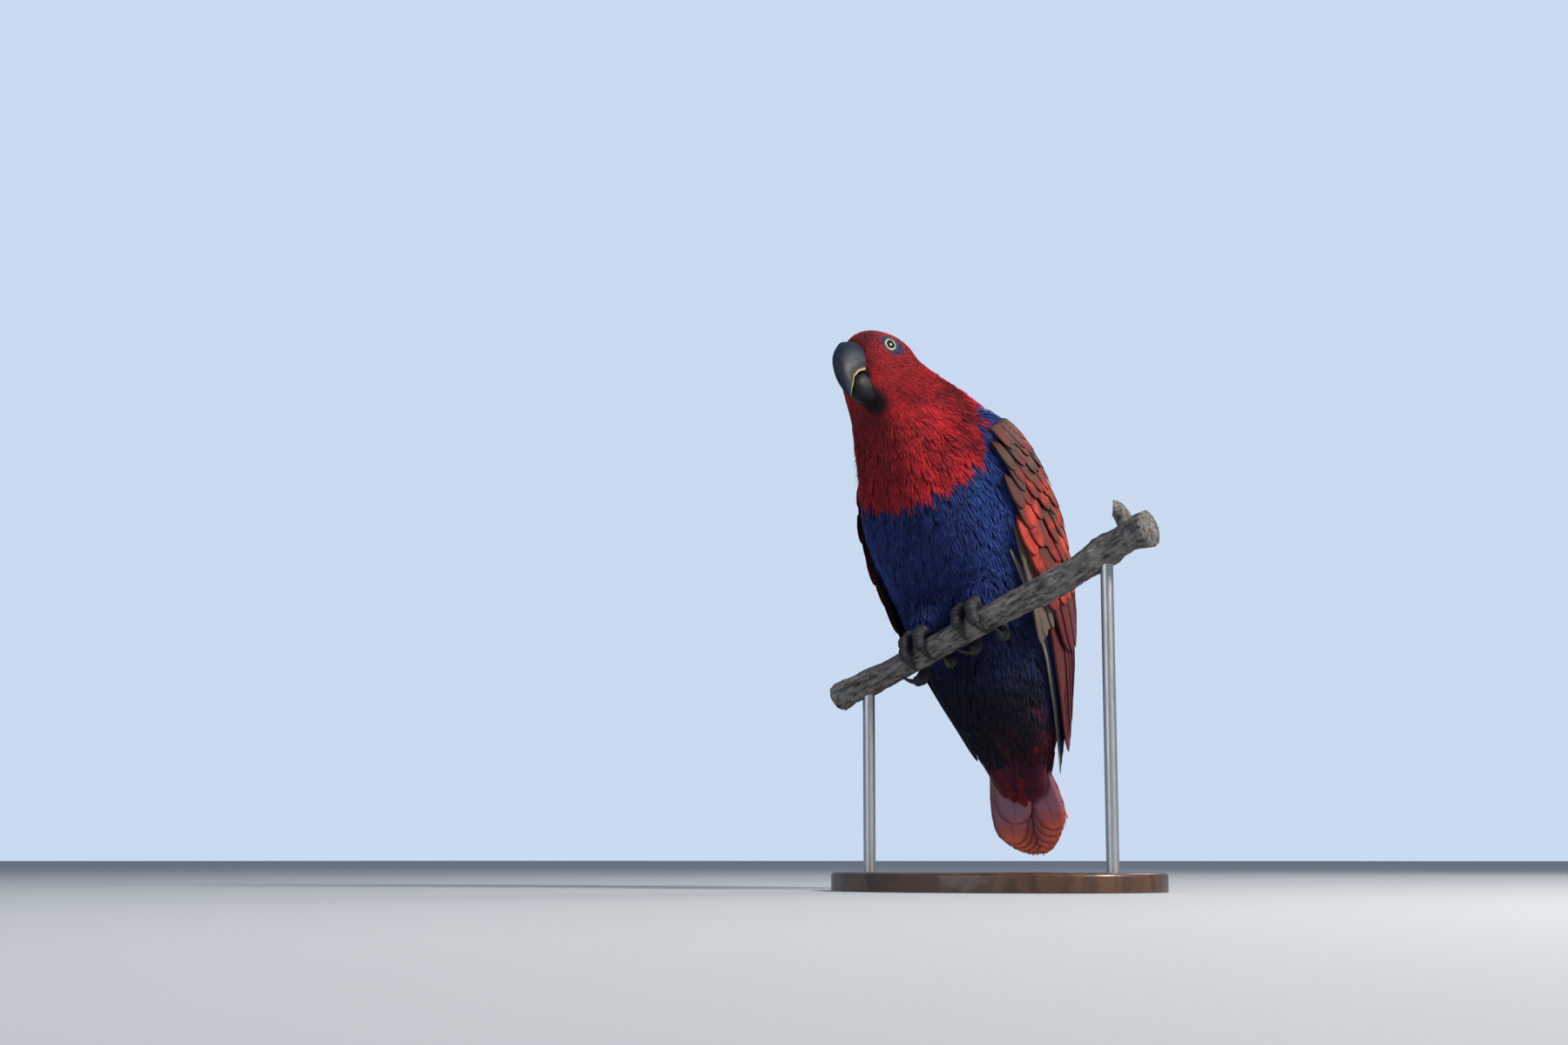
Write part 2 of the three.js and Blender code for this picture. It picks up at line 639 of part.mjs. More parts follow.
function perch(lift = 0) {
  const centres = [];
  const radii = [];
  const steps = 17;
  for (let i = 0; i <= steps; i++) {
    const a = mix(PERCH_REACH.low, PERCH_REACH.high, i / steps);
    const away = Math.max(0, Math.abs(a) - FOOT_SPACING - 16) / 100;
    const bend = 2.6 * away * Math.sin(a / 17);
    centres.push(perchPoint(a, 0, bend).addScaledVector(perchFront, 1.8 * away * Math.cos(a / 13)));
    radii.push(PERCH_RADIUS + lift + PERCH_END_SWELL * away + 0.9 * away * Math.sin(a / 6));
  }
  const from = perchPoint(FORK.at, 0, 0);
  const forkCentres = [];
  const forkRadii = [];
  for (let i = 0; i <= 6; i++) {
    const t = i / 6;
    const bow = Math.sin(t * Math.PI * 0.5);
    forkCentres.push(from.clone().add(vec(-FORK.length * 0.5 * t, -6 * t, FORK.length * bow)));
    forkRadii.push(mix(FORK.radius + 1.6, FORK.radius, bow) + lift);
  }
  return fuse([tube(centres, radii, 12, perchFront), tube(forkCentres, forkRadii, 10, perchFront)]);
}

const perchGrown = perch(GAP);

// The middle and the radius of a toe at t, from 0 at its root to 1 at its claw
function toeLine(toe, side) {
  const a = side * (FOOT_SPACING + toe.side * toe.spread);
  const radiusAt = (t) => mix(toe.base, toe.tip, t) + 0.35 * Math.cos(t * Math.PI * 5);
  const centreAt = (t) => {
    const lift = GAP + 0.25 + radiusAt(t) + toe.loose * t * t;
    return perchPoint(a + side * toe.side * toe.drift * t, mix(toe.from, toe.to, t), PERCH_RADIUS + lift);
  };
  return { radiusAt, centreAt };
}

function toeTube(toe, side, grow = 0) {
  const { radiusAt, centreAt } = toeLine(toe, side);
  const steps = 6;
  const reach = grow / 24;
  const centres = [];
  const radii = [];
  for (let i = 0; i <= steps; i++) {
    const t = mix(-reach, 1 + reach, i / steps);
    centres.push(centreAt(t));
    radii.push(radiusAt(t) + grow);
  }
  return tube(centres, radii, 8, perchAlong);
}

function buildFoot(side) {
  const word = side > 0 ? "left" : "right";
  const padCentre = perchPoint(side * FOOT_SPACING, PAD.angle, PERCH_RADIUS + GAP + 0.3 + PAD.radius * 0.78);
  const ankle = vec(side * FOOT_SPACING, ANKLE.y, ANKLE.z + side * FOOT_SPACING * Math.tan(rad(PERCH_SLOPE)));
  const shape = (grow) => {
    const pad = new THREE.SphereGeometry(1, 12, 8);
    pad.scale(PAD.radius * 1.25 + grow, PAD.radius + grow, PAD.radius * 0.78 + grow);
    pad.rotateY(-rad(PERCH_SLOPE)).translate(padCentre.x, padCentre.y, padCentre.z);
    const shin = [0, 0.35, 0.7, 1].map((t) => padCentre.clone().lerp(ankle, t));
    const radii = [0.9, 0.92, 0.96, 1.05].map((share) => TARSUS_RADIUS * share + grow);
    return fuse([solid(pad), tube(shin, radii, 10, perchAlong)]);
  };
  const root = vec(side * THIGH.root.x, THIGH.root.y, THIGH.root.z);
  const hem = padCentre.clone().lerp(ankle, THIGH.hem);
  const thighLine = THIGH.radii.map((_, i) => root.clone().lerp(hem, i / (THIGH.radii.length - 1)));
  const footGrown = shape(GAP);
  const toes = TOES.map((toe) => toeTube(toe, side, GAP * 1.3));
  const hollow = wasm.Manifold.union([trunkGrown, footGrown, perchGrown, ...toes]);
  const thigh = tube(thighLine, THIGH.radii, 11, perchAlong).subtract(hollow);
  addNode("thigh_" + word, thigh, BLUE, 0.85);
  addNode("foot_" + word, shape(0).subtract(trunkGrown).subtract(perchGrown), SKIN_GREY, 0.7);
  for (const toe of TOES) {
    const made = toeTube(toe, side).subtract(footGrown).subtract(perchGrown);
    const nail = claw(toe, side).subtract(toeTube(toe, side, GAP * 1.3)).subtract(perchGrown);
    addNode(toe.name + "_" + word, made, SKIN_GREY, 0.7);
    addNode(toe.name.replace("toe", "claw") + "_" + word, nail, CLAW_BLACK, 0.35);
  }
}

// A claw carries on from its toe's end and curls towards the perch
function claw(toe, side) {
  const { centreAt } = toeLine(toe, side);
  const end = centreAt(1);
  const ahead = end.clone().sub(centreAt(0.9)).normalize();
  const turn = Math.sign(toe.to - toe.from);
  const centres = [];
  const radii = [];
  const steps = 4;
  const place = end.clone().addScaledVector(ahead, -0.6);
  const heading = ahead.clone();
  for (let i = 0; i <= steps; i++) {
    const t = i / steps;
    centres.push(place.clone());
    radii.push(CLAW.radius * (1 - t) ** 0.8 + 0.15);
    heading.applyAxisAngle(perchAlong, rad((turn * CLAW.curl) / steps));
    place.addScaledVector(heading, CLAW.length / steps);
  }
  return tube(centres, radii, 6, perchAlong);
}

function buildStand() {
  const floor = -PERCH_HEIGHT;
  const { radius, thickness, edge, stretch } = BASE;
  const profile = [
    [0, 0],
    [radius - 1, 0],
    [radius, 1],
    [radius, thickness - edge],
    [radius - 0.8, thickness - edge * 0.3],
    [radius - edge, thickness],
    [0, thickness],
  ].map(([x, y]) => new THREE.Vector2(x, y));
  const disc = new THREE.LatheGeometry(profile, 32);
  disc.rotateX(Math.PI / 2).scale(stretch, 1, 1);
  disc.translate(-PERCH_FROM_CENTRE.x, -PERCH_FROM_CENTRE.y, floor);
  addNode("stand_base", solid(disc), STAND_WOOD, 0.45);
  for (const [name, a] of [
    ["stand_rod_low", ROD.low],
    ["stand_rod_high", ROD.high],
  ]) {
    const top = perchPoint(a, 0, 0);
    const foot = floor + thickness + GAP;
    const rod = new THREE.CylinderGeometry(ROD.radius, ROD.radius, top.z - foot, 20);
    rod.rotateX(Math.PI / 2).translate(top.x, top.y, (top.z + foot) / 2);
    addNode(name, solid(rod).subtract(perchGrown), STAND_METAL, 0.35, 0.9);
  }
  addNode("perch", perch(), BARK, 0.9);
}

buildHead();
buildBill();
buildTrunk();
buildTail();
for (const side of [1, -1]) {
  buildWing(side);
  buildFoot(side);
}
buildStand();

export default model;
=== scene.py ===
import math

import bpy
import numpy as np
from bpy.props import FloatProperty, FloatVectorProperty, IntProperty, PointerProperty
from mathutils import Matrix, Vector, noise
from mathutils.bvhtree import BVHTree


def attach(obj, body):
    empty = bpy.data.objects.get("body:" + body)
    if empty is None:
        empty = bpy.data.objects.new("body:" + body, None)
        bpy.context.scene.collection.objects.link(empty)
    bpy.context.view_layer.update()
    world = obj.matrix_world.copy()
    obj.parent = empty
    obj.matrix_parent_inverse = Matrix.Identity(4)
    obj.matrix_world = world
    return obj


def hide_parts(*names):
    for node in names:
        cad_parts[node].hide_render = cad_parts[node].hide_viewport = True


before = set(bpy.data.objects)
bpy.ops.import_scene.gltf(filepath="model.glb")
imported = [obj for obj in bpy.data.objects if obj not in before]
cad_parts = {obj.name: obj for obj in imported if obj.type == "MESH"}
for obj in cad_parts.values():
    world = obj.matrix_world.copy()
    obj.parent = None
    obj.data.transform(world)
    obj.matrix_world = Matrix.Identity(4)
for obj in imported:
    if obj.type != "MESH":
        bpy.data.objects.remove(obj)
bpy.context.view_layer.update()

bl_info = {
    "name": "Perched eclectus parrot",
    "version": (1, 0, 0),
    "blender": (4, 5, 0),
    "location": "View3D > Sidebar > Parrot",
    "description": "Builds a life-size female eclectus parrot on a cut branch and a plain stand",
    "category": "Object",
}

MM = 0.001
# The bird's own axes start at the middle of the perch, between its feet
BIRD = np.array((-20.0, -20.0, 162.0))

# The body's line from the tail tip to the head: s, x, y, z
SPINE = np.array([
    (-101, 0, 103, -124), (0, -6.5, 74, -28), (32, -9, 65, 2), (95, -13.5, 43, 60),
    (159, -20, 15, 118), (201, -26, -11, 152), (243, -33, -41, 183),
], float)
# Half width, depth to the belly and depth to the back, square to that line: s, half, belly, back
TRUNK = np.array([
    (-75, 22, 5, 4), (-58, 25.5, 8.5, 6.5), (-40, 31.5, 16, 11.5), (-20, 39, 27, 19),
    (0, 45, 34, 27), (32, 53, 36, 38), (60, 58, 41, 47), (95, 60, 50, 53), (125, 60, 57, 54),
    (159, 54, 54, 49), (180, 47, 48, 41), (201, 39.5, 41, 31.5), (220, 31.5, 34, 23.5), (243, 22.5, 26, 16),
], float)
FOLDED_WING = np.array([
    (-75, 32, 25, 17), (-22, 47, 40, 28.5), (21, 58, 46, 43.5), (59, 65.5, 51, 55.5),
    (105, 69, 61, 61.5), (141, 66.5, 62, 60), (165, 60, 58, 55.5), (182, 52, 50, 47),
], float)
SECTION_POWER = 2.2
# The angle round the body where the folded wing starts and ends: s, angle
WING_FRONT = np.array([(76, 66), (110, 64), (150, 71), (176, 92)], float)
WING_BACK = np.array([(76, 168), (110, 168), (150, 158), (176, 130)], float)
WING_FOOT = 76
WING_TOP = 176
# Where the red of the neck meets the blue, from the belly (0) to the back (180): angle, s
RED_EDGE = np.array([
    (0, 148.5), (30, 152), (58, 155), (74, 162), (84, 172), (97, 186), (130, 194), (180, 198),
], float)

HEAD_CENTRE = np.array((-28.8, -43.5, 183.5))
HEAD_TURN = math.radians(10)
HEAD_PITCH = math.radians(3)
HEAD_ROLL = math.radians(14)
# f, half, top, bottom
SKULL = np.array([
    (-33, 6, 1, -11), (-29, 13, 7, -19), (-21, 18.8, 13.4, -28), (-11, 21.8, 17.4, -33),
    (0, 21.8, 18.6, -35), (9, 20.6, 17.6, -35), (15, 17.6, 15, -32), (19, 13.4, 11.8, -27),
    (22, 7.5, 7.5, -18),
], float)
EYE_RADIUS = 6.2
EYE_OUT = 15.2
EYE_FORWARD = 3
EYE_UP = 0.5
EYE_TURN = math.radians(15)
# No feather grows nearer to the eye's axis than this
LID_REACH = 5.3
# The lid's rim, round its section: distance from the eye's axis, height along it
LID_SECTION = (
    (4.0, 4.62), (4.15, 5.0), (4.55, 5.25), (5.05, 5.1), (5.45, 4.6), (5.7, 3.7), (5.3, 2.6), (4.2, 3.4),
)
# The bill's side view: ridge forward and up, cutting edge forward and up, half width
UPPER_BILL = np.array([
    (0, 14, 6.6, 9, -13.6, 10), (1, 22, 6.8, 15, -15, 9.8), (2, 29.6, 4.8, 20.2, -16.4, 9.1),
    (3, 35, -0.8, 24, -18, 7.8), (4, 37.8, -8, 26.2, -21, 6.4), (5, 37.8, -16.4, 27.8, -24.8, 4.9),
    (6, 35.4, -24.2, 28.4, -28.8, 3.3), (7, 31.6, -30.4, 28.2, -31.8, 1.7), (8, 28.8, -34, 28, -33.4, 0.5),
], float)
LOWER_BILL = np.array([
    (0, 3, -31, 8, -15, 9.4), (1, 9.4, -34.6, 14, -16, 9.2), (2, 16, -35.4, 20, -17.8, 8.2),
    (3, 21.8, -33, 24, -20, 6.8), (4, 25.6, -29, 26, -22.8, 4.8),
], float)
BILL_SIDE = np.array([
    (0, 0, 0), (1, 0.1, 0.5), (2, 0.28, 0.8), (3, 0.52, 0.97), (4, 0.78, 1), (5, 1, 0.86),
], float)

PERCH_SLOPE = math.radians(22)
PERCH_RADIUS = 8.2
PERCH_LOW = -95
PERCH_HIGH = 160
PERCH_END_SWELL = 1.6
FORK_AT = 146
FORK_LENGTH = 20
FORK_RADIUS = 4.8
ROD_RADIUS = 4
ROD_PLACES = {"stand_rod_low": -70, "stand_rod_high": 126}
BASE_RADIUS = 84
BASE_STRETCH = 1.38
BASE_THICKNESS = 12
BASE_EDGE = 2.5

FOOT_SPACING = 22
PAD_ANGLE = -16
PAD_RADIUS = 5.4
ANKLE_Y = 13
ANKLE_Z = 25
THIGH_ROOT = (20, 42, 50)
THIGH_RADII = (22, 21, 19, 16, 12.3, 7.5)
# name, side, angle at the root and at the claw, looseness, spread, drift, radius at the root and at the claw
TOES = (
    ("toe_1_rear_inner", -1, -34, -158, 1.5, 4.9, 8, 4.4, 3.7),
    ("toe_2_front_inner", -1, 4, 92, 0, 5, 1.5, 4.5, 3.6),
    ("toe_3_front_outer", 1, 4, 104, 0, 5, 1.5, 4.6, 3.7),
    ("toe_4_rear_outer", 1, -34, -172, 1.5, 4.9, 9, 4.5, 3.8),
)
TOE_PLATES = 9
CLAW_LENGTH = 13
CLAW_RADIUS = 2.1
CLAW_CURL = math.radians(66)
CLAW_SUNK = 1.4

TAIL_AT = -52
TAIL_LENGTH = 64
TAIL_WIDTH = 26
TAIL_STEP = 0.6
# How much shorter the outermost tail feather is on the left side and on the right
TAIL_SHORTER = 17
TAIL_SHORTER_RIGHT = 9
TAIL_FEATHERS = 12
# The short feather under the others: place across the tail, length
UNDER_FEATHER = (-12, 41)

SIDES = ((1, "left"), (-1, "right"))

# The camera, in millimetres and degrees: to the bird's left front and a little below it
CAMERA_DISTANCE = 1500
CAMERA_AZIMUTH = math.radians(33)
CAMERA_BELOW = 142
CAMERA_TILT = 8.37
# How far the middle of the picture lies to the left of the feet
CAMERA_ASIDE = 109
# name, place in metres, diameter, power, colour
LIGHTS = (
    ("Key", (1.65, -0.1, 1.25), 0.5, 60, (1, 0.93, 0.84)),
    ("Fill", (-0.4, -2.0, 0.7), 1.4, 8, (0.86, 0.92, 1)),
    ("Rim", (0.2, 1.7, 1.5), 0.9, 12, (1, 0.97, 0.94)),
)
LIGHTS_AIM = (0, 0, 0.2)
SKY_LIGHT = 0.44
SKY_SEEN = 0.95


def colour_property(name, text, value):
    return FloatVectorProperty(
        name=name, description=text, subtype="COLOR", size=4, min=0, max=1, default=(*value, 1))


class PlumageSettings(bpy.types.PropertyGroup):
    """Colours and sizes of the feathers"""

    red: colour_property("Red", "Head, neck and breast feathers", (0.6, 0.024, 0.032))
    deep_red: colour_property("Deep red", "Shaded parts of the red feathers", (0.15, 0.008, 0.017))
    blue: colour_property("Blue", "Belly and flank feathers", (0.018, 0.037, 0.17))
    bright_blue: colour_property("Bright blue", "Mantle, wing edge and eye ring", (0.025, 0.06, 0.26))
    wing_red: colour_property("Wing red", "Wing coverts and secondaries", (0.2, 0.022, 0.02))
    wing_brown: colour_property("Wing brown", "Dull ends of the wing coverts", (0.075, 0.044, 0.036))
    tail_red: colour_property("Tail red", "Underside of the tail", (0.42, 0.16, 0.2))
    tail_tip: colour_property("Tail tip", "Bright ends of the tail feathers", (0.92, 0.19, 0.12))
    depth: FloatProperty(
        name="Coat depth", description="How far the feathers stand off the skin",
        default=3.6 * MM, min=1 * MM, max=6 * MM, unit="LENGTH")
    density: FloatProperty(
        name="Density", description="Number of body feather tufts against the usual number",
        default=1, min=0.1, max=1.3)
    seed: IntProperty(name="Seed", description="Start of every random draw", default=11, min=0)


class BodySettings(bpy.types.PropertyGroup):
    """Colours of the bill, eyes, feet, perch and stand"""

    bill: colour_property("Bill", "Horn of the bill", (0.011, 0.017, 0.034))
    bill_edge: colour_property("Bill edge", "Worn cutting edge of the bill", (0.55, 0.42, 0.22))
    iris: colour_property("Iris", "Ring of the eye", (0.66, 0.58, 0.34))
    foot: colour_property("Foot", "Scales of the feet", (0.024, 0.026, 0.031))
    claw: colour_property("Claw", "Claws", (0.01, 0.01, 0.012))
    bark: colour_property("Bark", "Bark of the perch", (0.29, 0.27, 0.255))
    lichen: colour_property("Lichen", "Pale crust on the bark", (0.42, 0.38, 0.27))
    wood: colour_property("Stand wood", "Stained base", (0.085, 0.038, 0.018))
    metal: colour_property("Stand metal", "Brushed rods", (0.56, 0.56, 0.55))


class StageSettings(bpy.types.PropertyGroup):
    """The floor and the light round the model"""

    floor: colour_property("Floor", "Plain pale floor", (0.42, 0.445, 0.47))
    sky: colour_property("Sky", "Even light all round", (0.62, 0.74, 0.92))
    lens: FloatProperty(
        name="Lens", description="Focal length of the camera in millimetres", default=52.63, min=10, max=300)


def unit(v):
    return v / np.maximum(np.linalg.norm(v, axis=-1, keepdims=True), 1e-9)


def smooth_step(low, high, x):
    t = np.clip((np.asarray(x, float) - low) / (high - low), 0, 1)
    return t * t * (3 - 2 * t)


def mix(a, b, t):
    return a + (b - a) * t


def length_of(*parts):
    """Length of the vectors whose parts are given one by one."""
    return np.linalg.norm(np.stack(parts, -1), axis=-1)


def along(table, x):
    """Smooth values between the rows of a table whose first column is the key."""
    keys = table[:, 0]
    last = len(keys) - 1
    x = np.clip(np.asarray(x, float), keys[0], keys[last])
    i = np.clip(np.searchsorted(keys, x, side="left") - 1, 0, last - 1)
    before = np.maximum(np.arange(last + 1) - 1, 0)
    after = np.minimum(np.arange(last + 1) + 1, last)
    slope = (table[after, 1:] - table[before, 1:]) / (keys[after] - keys[before])[:, None]
    span = keys[i + 1] - keys[i]
    u = ((x - keys[i]) / span)[..., None]
    span = span[..., None]
    start = table[i, 1:] * (2 * u ** 3 - 3 * u ** 2 + 1) + slope[i] * span * (u ** 3 - 2 * u ** 2 + u)
    end = table[i + 1, 1:] * (3 * u ** 2 - 2 * u ** 3) + slope[i + 1] * span * (u ** 3 - u ** 2)
    return start + end


def body_frame(s):
    """Middle, direction to the head, left side and back of the body at s."""
    s = np.asarray(s, float)
    ahead = unit(along(SPINE, s + 2) - along(SPINE, s - 2))
    left = np.zeros_like(ahead)
    left[..., 0] = 1
    left = unit(left - ahead * ahead[..., :1])
    return along(SPINE, s), ahead, left, np.cross(ahead, left)


def body_point(table, s, angle, lift=0.0):
    """A point on the body or on the folded wings; angle 0 is the belly, 90 the left side, 180 the back."""
    s, angle, lift = np.broadcast_arrays(*(np.asarray(v, float) for v in (s, angle, lift)))
    middle, _, left, back = body_frame(s)
    size = along(table, s)
    sin, cos = np.sin(np.radians(angle)), np.cos(np.radians(angle))
    power = 2 / SECTION_POWER
    across = np.sign(sin) * np.abs(sin) ** power * (size[..., 0] + lift)
    deep = np.sign(cos) * np.abs(cos) ** power * (np.where(cos > 0, size[..., 1], size[..., 2]) + lift)
    return middle + left * across[..., None] - back * deep[..., None]


def turned(v, axis, angle):
    return np.array(Matrix.Rotation(angle, 3, Vector(axis)) @ Vector(v))


HEAD_FORWARD = unit(np.array((-math.sin(HEAD_TURN), -math.cos(HEAD_TURN), math.tan(HEAD_PITCH))))
HEAD_LEFT = turned(unit(np.cross((0, 0, 1), HEAD_FORWARD)), HEAD_FORWARD, HEAD_ROLL)
HEAD_UP = unit(np.cross(HEAD_FORWARD, HEAD_LEFT))


def head_point(f, left, up):
    f, left, up = np.broadcast_arrays(*(np.asarray(v, float)[..., None] for v in (f, left, up)))
    return HEAD_CENTRE + HEAD_FORWARD * f + HEAD_LEFT * left + HEAD_UP * up


def head_place(points):
    """Forward, left and up of points in the head's frame."""
    out = points - HEAD_CENTRE
    return out @ HEAD_FORWARD, out @ HEAD_LEFT, out @ HEAD_UP


def eye_centre(side):
    return head_point(EYE_FORWARD, side * EYE_OUT, EYE_UP)


def eye_facing(side):
    return HEAD_LEFT * side * math.cos(EYE_TURN) + HEAD_FORWARD * math.sin(EYE_TURN)


def from_eye(points, side):
    """How far points stand out of an eye, and the way from its axis to them."""
    out = points - eye_centre(side)
    depth = out @ eye_facing(side)
    return depth, out - depth[:, None] * eye_facing(side)


PERCH_ALONG = np.array((math.cos(PERCH_SLOPE), 0, math.sin(PERCH_SLOPE)))
PERCH_FRONT = np.array((0.0, -1.0, 0.0))
PERCH_UP = unit(np.cross(PERCH_FRONT, PERCH_ALONG))


def perch_point(a, angle, radius):
    a, angle, radius = np.broadcast_arrays(*(np.asarray(v, float)[..., None] for v in (a, angle, radius)))
    turn = np.radians(angle)
    return PERCH_ALONG * a + PERCH_UP * radius * np.cos(turn) + PERCH_FRONT * radius * np.sin(turn)


# Where a point lies along the body's line, from a fine row of places on it
SPINE_S = np.linspace(-90, 243, 68)
SPINE_POINTS, SPINE_AHEAD, SPINE_LEFT, SPINE_BACK = body_frame(SPINE_S)


def red_edge(round_body):
    """The roots of the last red feathers, which lie over the blue by most of their length."""
    return along(RED_EDGE, round_body)[..., 0] + mix(8, -3, smooth_step(78, 108, round_body))


def body_place(points):
    """s and angle round the body of each point."""
    s = np.empty(len(points))
    angle = np.empty(len(points))
    for start in range(0, len(points), 20000):
        part = points[start:start + 20000]
        off = ((part[:, None] - SPINE_POINTS[None]) * SPINE_AHEAD[None]).sum(-1)
        far = np.linalg.norm(part[:, None] - SPINE_POINTS[None], axis=-1)
        best = (np.abs(off) + far * 0.15).argmin(1)
        away = part - SPINE_POINTS[best]
        s[start:start + 20000] = SPINE_S[best] + off[np.arange(len(part)), best]
        across = (away * SPINE_LEFT[best]).sum(-1)
        back = (away * SPINE_BACK[best]).sum(-1)
        angle[start:start + 20000] = np.degrees(np.arctan2(across, -back))
    return s, angle


def select_only(*pieces):
    bpy.ops.object.select_all(action="DESELECT")
    for piece in pieces:
        piece.select_set(True)
    bpy.context.view_layer.objects.active = pieces[0]


def mesh_piece(name, points, faces):
    """A mesh whose points are given in millimetres on the bird's axes."""
    mesh = bpy.data.meshes.new(name)
    mesh.from_pydata(((np.asarray(points) + BIRD) * MM).tolist(), [], faces)
    mesh.update()
    piece = bpy.data.objects.new(name, mesh)
    bpy.context.scene.collection.objects.link(piece)
    mesh.polygons.foreach_set("use_smooth", np.ones(len(mesh.polygons), bool))
    return piece


def ring_faces(rings, sides, start=0, capped=True):
    """Faces of a closed tube of rings, with a face over each end."""
    i, j = np.meshgrid(np.arange(rings - 1), np.arange(sides), indexing="ij")
    a = (start + i * sides + j).ravel()
    b = (start + i * sides + (j + 1) % sides).ravel()
    faces = np.stack([a, b, b + sides, a + sides], -1).tolist()
    if capped:
        faces.append([start + k for k in range(sides - 1, -1, -1)])
        faces.append([start + (rings - 1) * sides + k for k in range(sides)])
    return faces


def tube_rings(centres, radii, sides, up):
    centres = np.asarray(centres, float)
    ahead = unit(np.concatenate([
        centres[1:2] - centres[:1], centres[2:] - centres[:-2], centres[-1:] - centres[-2:-1]]))
    across = unit(np.cross(ahead, up))
    other = unit(np.cross(across, ahead))
    turn = np.linspace(0, 2 * math.pi, sides, endpoint=False)
    radii = np.asarray(radii, float).reshape(len(centres), -1)
    radii = np.broadcast_to(radii, (len(centres), sides))[..., None]
    return centres[:, None] + radii * (
        across[:, None] * np.cos(turn)[None, :, None] + other[:, None] * np.sin(turn)[None, :, None])


def put_outward(piece):
    """Turns every face outwards."""
    select_only(piece)
    bpy.ops.object.mode_set(mode="EDIT")
    bpy.ops.mesh.select_all(action="SELECT")
    bpy.ops.mesh.remove_doubles(threshold=0.00001)
    bpy.ops.mesh.normals_make_consistent(inside=False)
    bpy.ops.object.mode_set(mode="OBJECT")


def apply_modifier(piece, kind, **values):
    select_only(piece)
    modifier = piece.modifiers.new(kind.title(), kind)
    for name, value in values.items():
        setattr(modifier, name, value)
    bpy.ops.object.modifier_apply(modifier=modifier.name)


def joined(name, parts):
    """One piece made of several."""
    select_only(*parts)
    if len(parts) > 1:
        bpy.ops.object.join()
    piece = bpy.context.view_layer.objects.active
    piece.name = name
    return piece


def upright_cylinder(name, sides, radius, low, high, x=0.0, y=0.0):
    """A cylinder from one height to another, with its place in its mesh."""
    bpy.ops.object.select_all(action="DESELECT")
    bpy.ops.mesh.primitive_cylinder_add(
        vertices=sides, radius=radius * MM, depth=(high - low) * MM,
        location=(x * MM, y * MM, (high + low) / 2 * MM))
    piece = bpy.context.active_object
    piece.name = name
    bpy.ops.object.transform_apply(location=True, rotation=True, scale=True)
    return piece


def set_attribute(piece, name, values):
    layer = piece.data.attributes.new(name, "FLOAT_VECTOR", "POINT")
    layer.data.foreach_set("vector", np.ascontiguousarray(values, dtype=np.float32).ravel())


def points_of(piece):
    """A piece's points in millimetres on the bird's axes."""
    out = np.empty(len(piece.data.vertices) * 3)
    piece.data.vertices.foreach_get("co", out)
    return out.reshape(-1, 3) / MM - BIRD


# Shader helpers

class Nodes:
    """A material's or a group's node tree, with short calls for its nodes."""

    def __init__(self, tree):
        self.tree = tree

    def add(self, kind, **values):
        node = self.tree.nodes.new(kind)
        for name, value in values.items():
            setattr(node, name, value)
        return node

    def link(self, a, b):
        self.tree.links.new(a, b)

    def feed(self, socket, value):
        if isinstance(value, bpy.types.NodeSocket):
            self.link(value, socket)
        elif value is not None:
            socket.default_value = value

    def math(self, operation, a, b=None, c=None):
        node = self.add("ShaderNodeMath", operation=operation)
        for socket, value in zip(node.inputs, (a, b, c)):
            self.feed(socket, value)
        return node.outputs[0]

    def times(self, a, b):
        return self.math("MULTIPLY", a, b)

    def plus(self, a, b):
        return self.math("ADD", a, b)

    def minus(self, a, b):
        return self.math("SUBTRACT", a, b)

    def mix(self, factor, a, b, blend="MIX"):
        node = self.add("ShaderNodeMix", data_type="RGBA", blend_type=blend)
        self.feed(node.inputs[0], factor)
        self.feed(node.inputs[6], a)
        self.feed(node.inputs[7], b)
        return node.outputs[2]

    def range(self, value, low, high, to_low=0.0, to_high=1.0):
        node = self.add("ShaderNodeMapRange", interpolation_type="SMOOTHSTEP")
        for socket, given in zip(node.inputs, (value, low, high, to_low, to_high)):
            self.feed(socket, given)
        return node.outputs[0]

    def object_place(self, scale=(1, 1, 1), turn=(0, 0, 0), at=(0, 0, 0)):
        coordinates = self.add("ShaderNodeTexCoord")
        mapping = self.add("ShaderNodeMapping")
        self.link(coordinates.outputs["Object"], mapping.inputs[0])
        mapping.inputs["Location"].default_value = at
        mapping.inputs["Rotation"].default_value = turn
        mapping.inputs["Scale"].default_value = scale
        return mapping.outputs[0]

    def noise(self, place, scale, detail=3.0, roughness=0.55, distortion=0.0):
        node = self.add("ShaderNodeTexNoise")
        self.feed(node.inputs["Vector"], place)
        node.inputs["Scale"].default_value = scale
        node.inputs["Detail"].default_value = detail
        node.inputs["Roughness"].default_value = roughness
        node.inputs["Distortion"].default_value = distortion
        return node.outputs["Fac"]

    def attribute(self, name):
        source = self.add("ShaderNodeAttribute", attribute_name=name)
        parts = self.add("ShaderNodeSeparateXYZ")
        self.link(source.outputs["Vector"], parts.inputs[0])
        return parts.outputs

    def bump(self, height, strength, distance):
        node = self.add("ShaderNodeBump")
        node.inputs["Strength"].default_value = strength
        node.inputs["Distance"].default_value = distance
        self.feed(node.inputs["Height"], height)
        return node.outputs[0]

    def paint(self, shader, colour, roughness, bump):
        """Links a finish to its shader; the bump is a height, its strength and its distance."""
        self.link(colour, shader.inputs["Base Color"])
        self.feed(shader.inputs["Roughness"], roughness)
        self.link(self.bump(*bump), shader.inputs["Normal"])


